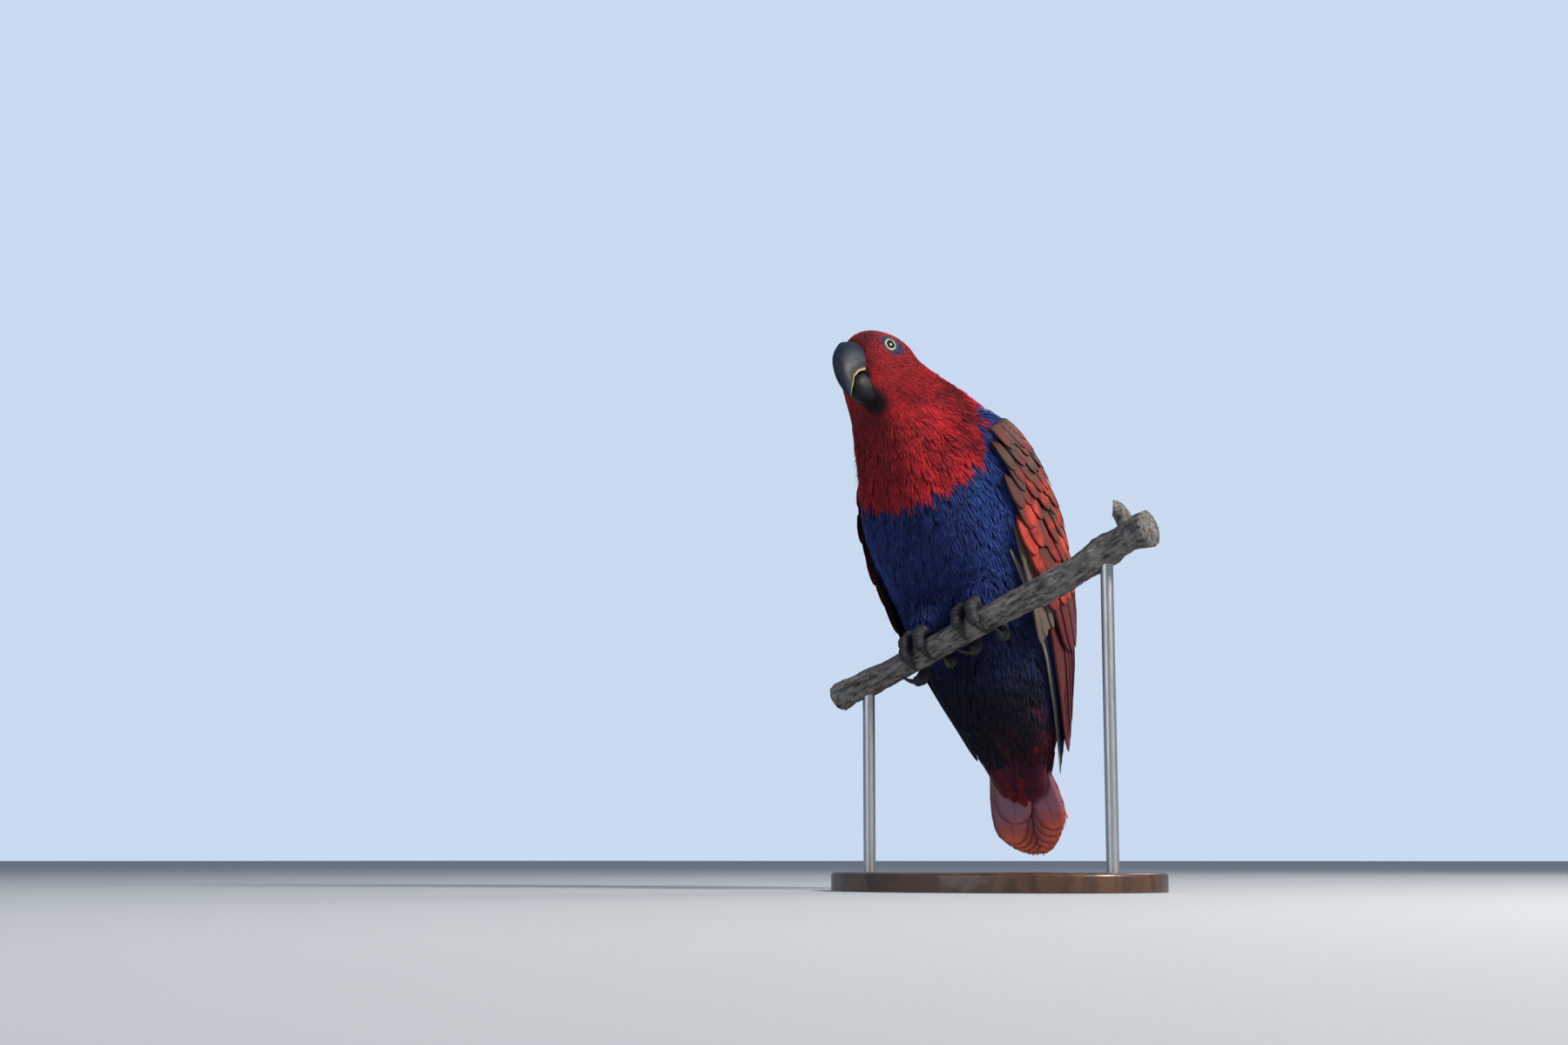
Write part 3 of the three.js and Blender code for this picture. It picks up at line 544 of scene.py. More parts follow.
def new_group(name, takes, gives):
    """An empty node group with named inputs and outputs."""
    tree = bpy.data.node_groups.new(name, "ShaderNodeTree")
    for label, kind, value in takes:
        socket = tree.interface.new_socket(name=label, in_out="INPUT", socket_type=kind)
        socket.default_value = value
    for label, kind in gives:
        tree.interface.new_socket(name=label, in_out="OUTPUT", socket_type=kind)
    nodes = Nodes(tree)
    return tree, nodes, nodes.add("NodeGroupInput").outputs, nodes.add("NodeGroupOutput").inputs


def place_group(nodes, tree, **values):
    node = nodes.add("ShaderNodeGroup", node_tree=tree)
    for label, value in values.items():
        nodes.feed(node.inputs[label], value)
    return node.outputs


def new_material(name, roughness=0.6, specular=0.5, metallic=0.0, coat=0.0, sheen=0.0, sheen_roughness=0.5):
    material = bpy.data.materials.new(name)
    material.use_nodes = True
    nodes = Nodes(material.node_tree)
    shader = material.node_tree.nodes["Principled BSDF"]
    shader.inputs["Roughness"].default_value = roughness
    shader.inputs["Specular IOR Level"].default_value = specular
    shader.inputs["Metallic"].default_value = metallic
    shader.inputs["Coat Weight"].default_value = coat
    shader.inputs["Sheen Weight"].default_value = sheen
    shader.inputs["Sheen Roughness"].default_value = sheen_roughness
    return material, nodes, shader


def wear(piece, material):
    piece.data.materials.clear()
    piece.data.materials.append(material)


def dress(piece, material, slot, *nodes):
    """Gives a finished piece its material and its place in the frame."""
    wear(piece, material)
    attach(piece, "root")
    if nodes:
        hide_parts(*nodes)


def barb_group():
    """Fine barbs that slant back from the shaft: a mask for colour and a height for bump."""
    if "Feather barbs" in bpy.data.node_groups:
        return bpy.data.node_groups["Feather barbs"]
    tree, nodes, takes, gives = new_group(
        "Feather barbs",
        [("Count", "NodeSocketFloat", 40.0), ("Slant", "NodeSocketFloat", 0.5)],
        [("Mask", "NodeSocketFloat"), ("Height", "NodeSocketFloat"), ("Shaft", "NodeSocketFloat")])
    t, across, draw = nodes.attribute("feather")
    side = nodes.math("ABSOLUTE", across)
    slanted = nodes.minus(t, nodes.times(side, takes["Slant"]))
    phase = nodes.times(nodes.plus(slanted, draw), takes["Count"])
    ragged = nodes.noise(nodes.object_place(), 420, 2)
    phase = nodes.plus(phase, nodes.times(ragged, 1.6))
    wave = nodes.math("SINE", nodes.times(phase, 6.2832))
    mask = nodes.math("MULTIPLY_ADD", wave, 0.5, 0.5)
    nodes.link(mask, gives["Mask"])
    shaft = nodes.range(side, 0.0, 0.1, 1.0, 0.0)
    nodes.link(nodes.plus(nodes.times(mask, 0.5), shaft), gives["Height"])
    nodes.link(shaft, gives["Shaft"])
    return tree


def plumage_group(settings):
    """The colour pattern and the painted shade that the skin and every body feather share."""
    if "Parrot markings" in bpy.data.node_groups:
        return bpy.data.node_groups["Parrot markings"]
    tree, nodes, takes, gives = new_group(
        "Parrot markings",
        [("Red", "NodeSocketColor", settings.red), ("Deep red", "NodeSocketColor", settings.deep_red),
         ("Blue", "NodeSocketColor", settings.blue),
         ("Bright blue", "NodeSocketColor", settings.bright_blue)],
        [("Color", "NodeSocketColor"), ("Rough", "NodeSocketFloat")])
    red, dark, bright = nodes.attribute("marks_and_shade")
    t, _, draw = nodes.attribute("feather")
    place = nodes.object_place()
    broad = nodes.noise(place, 26, 3)
    fine = nodes.noise(place, 330, 2)
    # Broad patches of deep red and darker blue: partly uneven tone, partly painted shade
    tone_and_shade = nodes.math("MULTIPLY_ADD", broad, 1.7, nodes.math("MULTIPLY_ADD", draw, 0.3, -0.35))
    reds = nodes.mix(nodes.range(tone_and_shade, 0.32, 0.9), takes["Deep red"], takes["Red"])
    light_blue = nodes.mix(bright, takes["Blue"], takes["Bright blue"])
    light_blue = nodes.mix(nodes.range(bright, 1.1, 1.8), light_blue, (0.055, 0.065, 0.14, 1))
    dark_blue = nodes.mix(1.0, light_blue, (0.35, 0.35, 0.4, 1), "MULTIPLY")
    blues = nodes.mix(nodes.range(tone_and_shade, 0.25, 0.8), dark_blue, light_blue)
    edge = nodes.plus(red, nodes.times(nodes.minus(draw, 0.5), 0.4))
    soft = nodes.range(dark, 0.32, 0.45, 0.0, 0.4)
    blended = nodes.range(edge, nodes.minus(0.44, soft), nodes.plus(0.56, soft))
    body = nodes.mix(blended, blues, reds)
    # Darkening towards black, mostly painted shade and shadow
    black_and_shade = nodes.mix(dark, body, (0.006, 0.007, 0.011, 1))
    # Painted shade: darker towards each feather's root, between the feathers
    rootward_shade = nodes.mix(nodes.range(t, 0.0, 0.5, 0.3, 0.0), black_and_shade, (0.0, 0.0, 0.0, 1))
    glint = nodes.mix(nodes.times(nodes.range(fine, 0.55, 0.8), 0.25), rootward_shade, (1, 1, 1, 1), "SOFT_LIGHT")
    nodes.link(glint, gives["Color"])
    nodes.link(nodes.range(fine, 0.2, 0.8, 0.82, 0.62), gives["Rough"])
    return tree


def plumage_material(name, settings, sheen, barb_count=6.0):
    material, nodes, shader = new_material(name, sheen=sheen, sheen_roughness=0.35, specular=0.16)
    marks_and_shade = place_group(nodes, plumage_group(settings))
    barbs = place_group(nodes, barb_group(), Count=barb_count, Slant=0.3)
    nodes.paint(shader, marks_and_shade["Color"], marks_and_shade["Rough"], (barbs["Height"], 0.35, 0.0004))
    return material


# The skin and the lie of the feathers

def markings_and_shade(points):
    """Shares of red, of darkening and of bright blue at each place on the body; most of the darkening is
    painted shade and shadow.
    """
    s, angle = body_place(points)
    round_body = np.abs(angle)
    edge = red_edge(round_body)
    f, left, up = head_place(points)
    ragged = 3.2 * np.sin(angle * 0.42 + 1.7) + 2.2 * np.sin(angle * 0.93)
    red = smooth_step(-3.5, 3.5, s - edge - ragged * 0.6)
    under = smooth_step(14, -40, s) * smooth_step(-46, 28, angle) * smooth_step(120, 80, round_body)
    under = np.maximum(under, smooth_step(-24, -56, s))
    tail_root = smooth_step(30, -20, s)
    past_flank = (round_body - mix(100, 84, tail_root)) / mix(32, 14, tail_root)
    lower_back = smooth_step(152, 128, s) * smooth_step(0, 1, past_flank)
    red = np.maximum.reduce([red, under * mix(0.66, 0.8, smooth_step(-30, -60, s)), lower_back])
    # Painted shade under the tail and on the lower belly; the lower back a little darker
    dark = np.maximum(under * mix(0.8, 0.62, smooth_step(-2, -50, s)), lower_back * 0.35)
    lower_belly = smooth_step(84, 36, s) * smooth_step(96, 60, round_body)
    dark = np.maximum(dark, lower_belly * mix(0.5, 0.9, smooth_step(44, 4, s)) * smooth_step(-60, -30, s))
    # Painted shadow under the chin and at the gape, painted shade on the throat and over the face; the lores
    # darker
    chin_shadow = smooth_step(15.5, 7.5, length_of((f - 13) * 0.85, left, up + 33))
    lore = smooth_step(5.5, 1.5, length_of(f - 13, (np.abs(left) - 10) * 1.2, (up + 12) * 0.55))
    gape_shade = smooth_step(11, 8, length_of(f - 17, left, up + 17))
    face = smooth_step(34, 24, length_of(f, left, up))
    throat_shade = smooth_step(38, 8, angle) * smooth_step(146, 160, s) * smooth_step(250, 226, s)
    throat_shade = throat_shade * mix(0.18, 0.55, smooth_step(165, 205, s))
    dark = np.maximum.reduce([dark, chin_shadow * 0.97, lore * 0.55, gape_shade, throat_shade, face * 0.36])
    bright = smooth_step(140, 168, s) * smooth_step(80, 96, round_body) * 0.9
    before_wing = np.abs(round_body - along(WING_FRONT, s)[..., 0] + 9)
    front_of_wing = smooth_step(17, 6, before_wing) * smooth_step(80, 105, s)
    bright = np.maximum(bright, front_of_wing)
    for side in (1, -1):
        depth, flat = from_eye(points, side)
        behind = -(flat @ HEAD_FORWARD)
        reach = np.linalg.norm(flat, axis=-1) - 1.6 * smooth_step(1, 7, behind)
        ring = smooth_step(8.4, 6.6, reach) * (depth > 0)
        red = red * (1 - ring)
        bright = np.maximum(bright * (1 - ring), ring * 1.8)
    return np.stack([red, dark, bright], -1)


def loft_part(name, rings):
    rings = np.asarray(rings)
    return mesh_piece(name, rings.reshape(-1, 3), ring_faces(len(rings), rings.shape[1]))


def trunk_rings(lift):
    s = np.linspace(TAIL_AT - 6, 240, 70)[:, None]
    thinner = mix(lift, -1.5, smooth_step(196, 236, s))
    return body_point(TRUNK, s, np.linspace(0, 360, 56, endpoint=False)[None], thinner)


def skull_rings(lift):
    f = np.linspace(SKULL[0, 0], SKULL[-1, 0], 28)
    half, top, bottom = along(SKULL, f).T
    middle, tall = (top + bottom) / 2, (top - bottom) / 2 + lift
    stretch = f + lift * np.linspace(-1, 1, 28)
    turn = np.linspace(0, 2 * math.pi, 44, endpoint=False)
    up = middle[:, None] - tall[:, None] * np.cos(turn)
    return head_point(stretch[:, None] + turn * 0, (half + lift)[:, None] * np.sin(turn), up)


def wing_slab(name, side, lift):
    """The folded arm as a closed slab on the body's side."""
    rows, columns = 26, 26
    v = np.linspace(0, 1, rows)[:, None]
    u = np.linspace(0, 1, columns)[None]
    s = mix(WING_FOOT, WING_TOP, v)
    angle = side * mix(along(WING_FRONT, s)[..., 0], along(WING_BACK, s)[..., 0], u)
    rim = np.minimum(1, 3 * np.minimum(u, 1 - u)) * np.minimum(1, 3 * (1 - v)) * np.minimum(1, 4 * v + 0.6)
    s = s + u * 0
    low = body_point(TRUNK, s, angle, -1.5)
    high = low + (body_point(FOLDED_WING, s, angle, lift) - low) * np.sqrt(rim)[..., None]
    inner = body_point(TRUNK, s, angle, -9)
    points = np.concatenate([inner.reshape(-1, 3), high.reshape(-1, 3)])
    faces = []
    count = rows * columns
    for i in range(rows - 1):
        for j in range(columns - 1):
            a = i * columns + j
            quad = [a, a + 1, a + columns + 1, a + columns]
            faces += [quad[::-1], [k + count for k in quad]]
    edge = list(range(columns)) + [i * columns + columns - 1 for i in range(1, rows)]
    edge += [(rows - 1) * columns + j for j in range(columns - 2, -1, -1)]
    edge += [i * columns for i in range(rows - 2, 0, -1)]
    for k, a in enumerate(edge):
        b = edge[(k + 1) % len(edge)]
        faces.append([a, b, b + count, a + count])
    return mesh_piece(name, points, faces)


def foot_places(side):
    pad = perch_point(side * FOOT_SPACING, PAD_ANGLE, PERCH_RADIUS + 0.6 + PAD_RADIUS * 0.78)
    ankle = np.array((side * FOOT_SPACING, ANKLE_Y, ANKLE_Z + side * FOOT_SPACING * math.tan(PERCH_SLOPE)))
    root = np.array((side * THIGH_ROOT[0], THIGH_ROOT[1], THIGH_ROOT[2]))
    return pad, ankle, root


NEIGHBOURS = [(i, j, k) for i in (-1, 0, 1) for j in (-1, 0, 1) for k in (-1, 0, 1)]


class Skin:
    """The finished skin, for finding the surface under a feather."""

    def __init__(self, piece):
        mesh = piece.data
        mesh.calc_loop_triangles()
        self.points = points_of(piece)
        triangles = np.empty(len(mesh.loop_triangles) * 3, np.int32)
        mesh.loop_triangles.foreach_get("vertices", triangles)
        self.triangles = triangles.reshape(-1, 3)
        normals = np.empty(len(mesh.vertices) * 3)
        mesh.vertices.foreach_get("normal", normals)
        self.normals = normals.reshape(-1, 3)
        self.tree = BVHTree.FromPolygons(self.points.tolist(), self.triangles.tolist())
        self.middles = self.points[self.triangles].mean(1)
        self.s, self.angle = body_place(self.middles)

    def nearest(self, points):
        """The nearest place on the skin and the smooth normal there."""
        out = np.empty_like(points)
        face = np.empty(len(points), int)
        for i, p in enumerate(points.tolist()):
            place, _, index, _ = self.tree.find_nearest(p)
            out[i] = place
            face[i] = index
        corners = self.triangles[face]
        near = 1 / (np.linalg.norm(self.points[corners] - out[:, None], axis=-1) + 0.05)
        return out, unit((self.normals[corners] * near[..., None]).sum(1))

    def scatter(self, draw, spacing, keep):
        """Evenly spaced random places on the wanted faces of the skin, none nearer than the spacing."""
        a, b, c = (self.points[self.triangles[keep, k]] for k in range(3))
        area = np.linalg.norm(np.cross(b - a, c - a), axis=-1) / 2
        count = int(area.sum() / spacing ** 2 * 2.6)
        pick = draw.choice(len(area), count, p=area / area.sum())
        u, v = draw.random(count), draw.random(count)
        flip = u + v > 1
        u[flip], v[flip] = 1 - u[flip], 1 - v[flip]
        points = a[pick] + (b - a)[pick] * u[:, None] + (c - a)[pick] * v[:, None]
        cell = np.floor(points / spacing).astype(int)
        taken = {}
        kept = []
        reach = (spacing * 0.82) ** 2
        for i, (x, y, z) in enumerate(cell.tolist()):
            p = points[i]
            near = (q for di, dj, dk in NEIGHBOURS for q in taken.get((x + di, y + dj, z + dk), ()))
            if all((p[0] - q[0]) ** 2 + (p[1] - q[1]) ** 2 + (p[2] - q[2]) ** 2 >= reach for q in near):
                taken.setdefault((x, y, z), []).append(p)
                kept.append(i)
        return points[kept]


def lie(points):
    """The way the feathers point: away from the bill on the head, then down the body to the tail."""
    s, _ = body_place(points)
    near = ((s[:, None] - SPINE_S[None]) ** 2).argmin(1)
    body = -SPINE_AHEAD[near]
    from_bill = points - head_point(25, 0, -9)
    far = np.linalg.norm(from_bill, axis=-1)
    share = smooth_step(62, 26, far)[:, None]
    return unit(body * (1 - share) + unit(from_bill) * share)


def comb(skin, roots, lengths, stations, steer=None):
    """Paths that follow the skin from each root, with the normal at each station."""
    paths, normals = [], []
    here, normal = skin.nearest(roots)
    stations = np.asarray(stations)
    for k, t in enumerate(stations):
        paths.append(here)
        normals.append(normal)
        if k + 1 == len(stations):
            break
        way = lie(here)
        if steer is not None:
            way = way + steer * (0.3 + t)
        way = unit(way - normal * (way * normal).sum(-1)[:, None])
        here, normal = skin.nearest(here + way * (lengths * (stations[k + 1] - t))[:, None])
    return np.stack(paths, 1), np.stack(normals, 1)


# Sections of a strand and of vanes: across, rise
STRAND = np.array([(-1, 0), (0, 0.5), (1, 0)], float)
VANE = np.array([
    (-1, 0), (-0.62, 0.12), (-0.25, 0.19), (0, 0.25), (0.25, 0.19), (0.62, 0.12), (1, 0),
    (0.5, 0.02), (-0.5, 0.02),
], float)
VANE_NARROW = np.array([(-1, 0), (-0.45, 0.16), (0, 0.24), (0.45, 0.16), (1, 0), (0, 0.02)], float)


def blades(name, paths, normals, widths, profile, draw, shares, roots_uv,
           patch=(0.003, 0.003), thickness=1.0, cup=0.0):
    """Many closed blades in one mesh, each on its own path; shares give the width along them."""
    count, stations = paths.shape[:2]
    ahead = np.empty_like(paths)
    ahead[:, 1:-1] = paths[:, 2:] - paths[:, :-2]
    ahead[:, 0] = paths[:, 1] - paths[:, 0]
    ahead[:, -1] = paths[:, -1] - paths[:, -2]
    ahead = unit(ahead)
    side = unit(np.cross(ahead, normals))
    up = np.cross(side, ahead)
    half = (np.asarray(widths)[:, None] * np.asarray(shares)[None]) / 2
    across = profile[:, 0][None, None, :, None]
    rise = profile[:, 1][None, None, :, None] * thickness
    bow = -cup * profile[:, 0][None, None, :, None] ** 2
    section = side[:, :, None] * across + up[:, :, None] * (rise + bow)
    rings = paths[:, :, None] + half[..., None, None] * section
    sides = len(profile)
    points = rings.reshape(-1, 3)
    i, k = np.meshgrid(np.arange(stations - 1), np.arange(sides), indexing="ij")
    a = i * sides + k
    b = i * sides + (k + 1) % sides
    one = np.stack([a, a + sides, b + sides, b], -1).reshape(-1, 4)
    base = (np.arange(count) * stations * sides)[:, None, None]
    quads = (one[None] + base).reshape(-1, 4)
    first = np.arange(sides)[None] + base[:, 0]
    last = (stations - 1) * sides + np.arange(sides - 1, -1, -1)[None] + base[:, 0]
    piece = mesh_piece(name, points, quads.tolist() + first.tolist() + last.tolist())
    t = np.linspace(0, 1, stations)[None, :, None]
    grid = (count, stations, sides)
    feather = np.stack([
        np.broadcast_to(t, grid), np.broadcast_to(profile[:, 0][None, None], grid),
        np.broadcast_to(draw[:, None, None], grid)], -1)
    set_attribute(piece, "feather", feather.reshape(-1, 3))
    u = roots_uv[:, None, None, 0] + feather[..., 1] * patch[0] / 2
    v = roots_uv[:, None, None, 1] + (feather[..., 0] - 0.5) * patch[1]
    uv = np.stack([u, v], -1).reshape(-1, 2)
    corner = np.empty(len(piece.data.loops), np.int32)
    piece.data.loops.foreach_get("vertex_index", corner)
    layer = piece.data.uv_layers.new(name="OFBake")
    layer.data.foreach_set("uv", np.ascontiguousarray(uv[corner], dtype=np.float32).ravel())
    return piece


def skin_unwrap(points):
    """A flat map of the skin: the body by angle and length in the lower part, the head above it."""
    s, angle = body_place(points)
    f, left, up = head_place(points)
    body = np.stack([0.02 + 0.96 * (angle + 180) / 360, 0.02 + 0.68 * np.clip((s + 90) / 333, 0, 1)], -1)
    turn = np.arctan2(left, -(up + 8)) / (2 * math.pi) + 0.5
    head = np.stack([0.02 + 0.96 * turn, 0.72 + 0.26 * np.clip((f + 36) / 62, 0, 1)], -1)
    on_head = np.linalg.norm(points - head_point(-2, 0, -9), axis=-1) < 34
    return np.where(on_head[:, None], head, body)


ROOT_SUNK = 0.6


def feather_rises(stations):
    """Height of a feather above the skin at each station, as a share of the coat's depth."""
    t = np.asarray(stations)
    return -ROOT_SUNK + (1 + ROOT_SUNK) * np.sin(np.clip(t * 1.25, 0, 1) * math.pi / 2) ** 1.1


def under_wing(s, angle):
    turn = np.abs(angle)
    beside = (turn > along(WING_FRONT, s)[..., 0] + 12) & (turn < along(WING_BACK, s)[..., 0] - 10)
    arm = (s > 62) & (s < 171) & beside
    flight = (s <= 62) & (s > 8) & (turn > 94) & (turn < 158)
    return arm | flight


def clear_of_face(points, bills):
    """True where a feather can grow: off the eyes and off the bill."""
    free = np.ones(len(points), bool)
    for side in (1, -1):
        depth, flat = from_eye(points, side)
        free &= ~((np.linalg.norm(flat, axis=-1) < LID_REACH) & (depth > 0))
    f, _, _ = head_place(points)
    near = np.nonzero(f > -4)[0]
    for i in near.tolist():
        for tree in bills:
            place, normal, _, _ = tree.find_nearest(points[i].tolist())
            if (Vector(points[i].tolist()) - place).dot(normal) < -0.2:
                free[i] = False
                break
    return free


LENGTHS_VARY = 0.18
SPLAY = 0.1


def coat_of_strands(
        name, skin, draw, roots, length, width, depth, material, slot, clump, stations, lift, stray):
    """Fine blades that follow the lie of the plumage, gathered into feather ends."""
    count = len(roots)
    lengths = length(roots) * (1 + LENGTHS_VARY * draw.standard_normal(count)).clip(0.6, 1.5)
    _, normal = skin.nearest(roots)
    way = lie(roots)
    way = unit(way - normal * (way * normal).sum(-1)[:, None])
    side = np.cross(way, normal)
    random = draw.random(count)
    steer = side * (SPLAY * draw.standard_normal(count))[:, None]
    rise = np.zeros(count)
    if clump:
        order = draw.permutation(count)
        middles = roots[order[:max(1, int(count / clump))]]
        owner = np.empty(count, int)
        for start in range(0, count, 2000):
            part = roots[start:start + 2000]
            owner[start:start + 2000] = ((part[:, None] - middles[None]) ** 2).sum(-1).argmin(1)
        to_middle = middles[owner] - roots
        ahead_by = -(to_middle * way).sum(-1)
        off = -(to_middle * side).sum(-1)
        reach = np.abs(off).max() + 1e-6
        lengths = np.maximum(lengths * 0.45, lengths - ahead_by * 0.8 - 1.6 * (off / reach * 2) ** 2)
        steer = steer - side * (off / lengths * 0.55)[:, None]
        own = draw.random(len(middles))
        random = 0.35 * random + 0.65 * own[owner]
        rise = (own[owner] - 0.4) * lift
    paths, normals = comb(skin, roots, lengths, stations, steer)
    if stray is not None:
        rise = rise + (draw.random(count) < stray(roots)) * draw.random(count) * 3.2
    tall = depth(roots) * mix(0.72, 1.0, draw.random(count))
    heights = feather_rises(stations)[None] * tall[:, None] + rise[:, None] * np.asarray(stations)[None]
    paths = paths + normals * heights[..., None]
    widths = width(roots) * mix(0.75, 1.25, draw.random(count))
    shares = np.interp(stations, (0, 0.3, 0.7, 1), (0.6, 1, 0.8, 0.06))
    piece = blades(name, paths, normals, widths, STRAND, random, shares, skin_unwrap(roots))
    finish_coat(piece, roots, len(stations) * len(STRAND), material, slot)


def finish_coat(piece, roots, per_root, material, slot, *nodes, all_blue=300):
    """Gives each feather the colours and painted shade at its root; none is red further up the body than
    all_blue.
    """
    marks_and_shade = markings_and_shade(roots)
    marks_and_shade[body_place(roots)[0] > all_blue, 0] = 0
    set_attribute(piece, "marks_and_shade", np.repeat(marks_and_shade, per_root, axis=0))
    dress(piece, material, slot, *nodes)


# What later operators grow feathers on or keep clear of: the skin and the two halves of the bill
MADE = {}


class PARROT_OT_skin(bpy.types.Operator):
    """One skin under all the feathers, from the head to the root of the tail"""

    bl_idname = "parrot.skin"
    bl_label = "Skin"

    def execute(self, context):
        plumage = context.scene.plumage
        depth = plumage.depth / MM
        parts = [loft_part("skin_trunk", trunk_rings(-depth)), loft_part("skin_skull", skull_rings(-1.4))]
        for side in (1, -1):
            parts.append(wing_slab("skin_wing", side, -6.2))
            pad, ankle, root = foot_places(side)
            share = np.linspace(0, 1, 18)[:, None]
            line = root + (pad - root) * share
            radii = np.interp(share[:, 0] * 5, np.arange(6), THIGH_RADII) - 2.6
            parts.append(loft_part("skin_thigh", tube_rings(line, radii.clip(2.4), 32, PERCH_ALONG)))
            line = mix(ankle, root, np.linspace(-0.25, 0.6, 10)[:, None])
            parts.append(loft_part("skin_ankle", tube_rings(line, np.linspace(5.6, 9, 10), 28, PERCH_ALONG)))
        for part in parts:
            put_outward(part)
        skin = joined("bird_skin", parts)
        apply_modifier(skin, "REMESH", mode="VOXEL", voxel_size=1.5 * MM)
        apply_modifier(skin, "SMOOTH", factor=0.5, iterations=7)
        points = points_of(skin)
        marks_and_shade = markings_and_shade(points)
        # Painted shade on the skin under each wing
        marks_and_shade[under_wing(*body_place(points))] = (1, 0.75, 0)
        set_attribute(skin, "marks_and_shade", marks_and_shade)
        # The skin stands as a feather's lower part, so it takes a little of the painted root shade
        set_attribute(skin, "feather", np.tile((0.35, 0.0, 0.3), (len(points), 1)))
        bpy.ops.object.shade_smooth()
        material = plumage_material("Feathered skin", plumage, 0.1)
        dress(skin, material, "red_feathers", "head", "neck", "torso", "thigh_left", "thigh_right")
        MADE["skin"] = Skin(skin)
        return {"FINISHED"}


def bill_mesh(name, table, underside, steps, notch):
    """A bill half from its side view, closed at both ends."""
    row_place = np.linspace(0, table[-1, 0], steps)
    rows = along(table, row_place)
    dip = 1.2 * np.exp(-((row_place - 4.3) / 0.42) ** 2)
    tooth = 0.9 * np.exp(-((row_place - 5.3) / 0.5) ** 2)
    rows[:, 3] += notch * (dip - tooth)
    k = np.linspace(0, 1, 18) ** 1.25 * 5
    v, share = along(BILL_SIDE, k).T
    rings = []
    for ridge_f, ridge_u, edge_f, edge_u, half in rows:
        f = mix(ridge_f, edge_f, v)
        up = mix(ridge_u, edge_u, v)
        left = head_point(f, share * half, up)
        right = head_point(f, -share * half, up)[:0:-1]
        middle = head_point(mix(ridge_f, edge_f, underside), 0, mix(ridge_u, edge_u, underside))[None]
        rings.append(np.concatenate([left, middle, right]))
    piece = loft_part(name, rings)
    around = np.concatenate([v, [underside], v[:0:-1]])
    bill = np.stack(np.broadcast_arrays(
        np.linspace(0, 1, steps)[:, None], around[None], np.zeros((1, 1))), -1)
    set_attribute(piece, "bill", bill.reshape(-1, 3))
    return piece


def bill_material(name, settings, edge_colour):
    material, nodes, shader = new_material(name, roughness=0.5, specular=0.26)
    length, around, _ = nodes.attribute("bill")
    place = nodes.object_place()
    layers = nodes.add("ShaderNodeCombineXYZ")
    nodes.link(nodes.times(length, 26.0), layers.inputs[0])
    nodes.link(nodes.times(around, 3.0), layers.inputs[1])
    growth = nodes.noise(layers.outputs[0], 2.2, 4, 0.6)
    cloud = nodes.noise(place, 160, 4)
    fine = nodes.noise(place, 900, 2)
    darker = nodes.mix(1.0, settings.bill[:], (0.55, 0.55, 0.55, 1), "MULTIPLY")
    base = nodes.mix(cloud, darker, settings.bill[:])
    base = nodes.mix(nodes.times(nodes.range(growth, 0.5, 0.75), 0.3), base, (0.034, 0.04, 0.052, 1))
    brown = nodes.times(nodes.range(around, 0.62, 0.9), nodes.range(length, 0.2, 0.5))
    base = nodes.mix(nodes.times(brown, 0.55), base, (0.075, 0.055, 0.038, 1))
    if edge_colour:
        wavy = nodes.plus(around, nodes.times(nodes.minus(cloud, 0.5), 0.06))
        line = nodes.times(nodes.range(wavy, 0.905, 0.965), nodes.range(length, 0.12, 0.2))
        base = nodes.mix(nodes.times(line, 0.9), base, settings.bill_edge[:])
    else:
        base = nodes.mix(0.86, base, (0.002, 0.002, 0.003, 1))
    height = nodes.plus(nodes.times(growth, 0.7), nodes.times(fine, 0.15))
    nodes.paint(shader, base, nodes.range(cloud, 0.3, 0.8, 0.44, 0.62), (height, 0.35, 0.0004))
    return material


class PARROT_OT_bill(bpy.types.Operator):
    """Upper and lower bill"""

    bl_idname = "parrot.bill"
    bl_label = "Bill"

    def execute(self, context):
        settings = context.scene.bird_parts
        trees = []
        for name, table, underside, steps, edged in (
                ("bill_upper", UPPER_BILL, 0.93, 44, True), ("bill_lower", LOWER_BILL, 1.02, 26, False)):
            piece = bill_mesh(name + "_horn", table, underside, steps, 1.0 if edged else 0.0)
            put_outward(piece)
            bpy.ops.object.shade_smooth()
            dress(piece, bill_material("Bill horn " + name.split("_")[1], settings, edged), "bill_horn", name)
            polygons = [list(p.vertices) for p in piece.data.polygons]
            trees.append(BVHTree.FromPolygons(points_of(piece).tolist(), polygons))
        MADE["bills"] = trees
        return {"FINISHED"}


def eye_material(settings):
    material, nodes, shader = new_material("Eye", roughness=0.09, specular=0.5, coat=0.3)
    across, _, _ = nodes.attribute("eye")
    rays = nodes.noise(nodes.object_place(), 900, 3)
    radius = nodes.plus(across, nodes.times(nodes.minus(rays, 0.5), 0.25))
    brown = nodes.mix(rays, (0.012, 0.009, 0.008, 1), (0.03, 0.022, 0.016, 1))
    inner = nodes.mix(nodes.range(radius, 1.9, 2.3), (0.004, 0.004, 0.005, 1), brown)
    ring = nodes.mix(nodes.range(radius, 3.1, 3.3), inner, settings.iris[:])
    outer = nodes.mix(nodes.range(radius, 3.85, 4.05), ring, (0.01, 0.012, 0.02, 1))
    nodes.paint(shader, outer, None, (rays, 0.05, 0.0002))
    return material


def lid_material():
    material, nodes, shader = new_material("Eyelid", roughness=0.55, specular=0.35)
    grain = nodes.noise(nodes.object_place(), 1500, 3)
    colour = nodes.mix(grain, (0.008, 0.012, 0.03, 1), (0.035, 0.05, 0.09, 1))
    nodes.paint(shader, colour, None, (grain, 0.5, 0.0003))
    return material


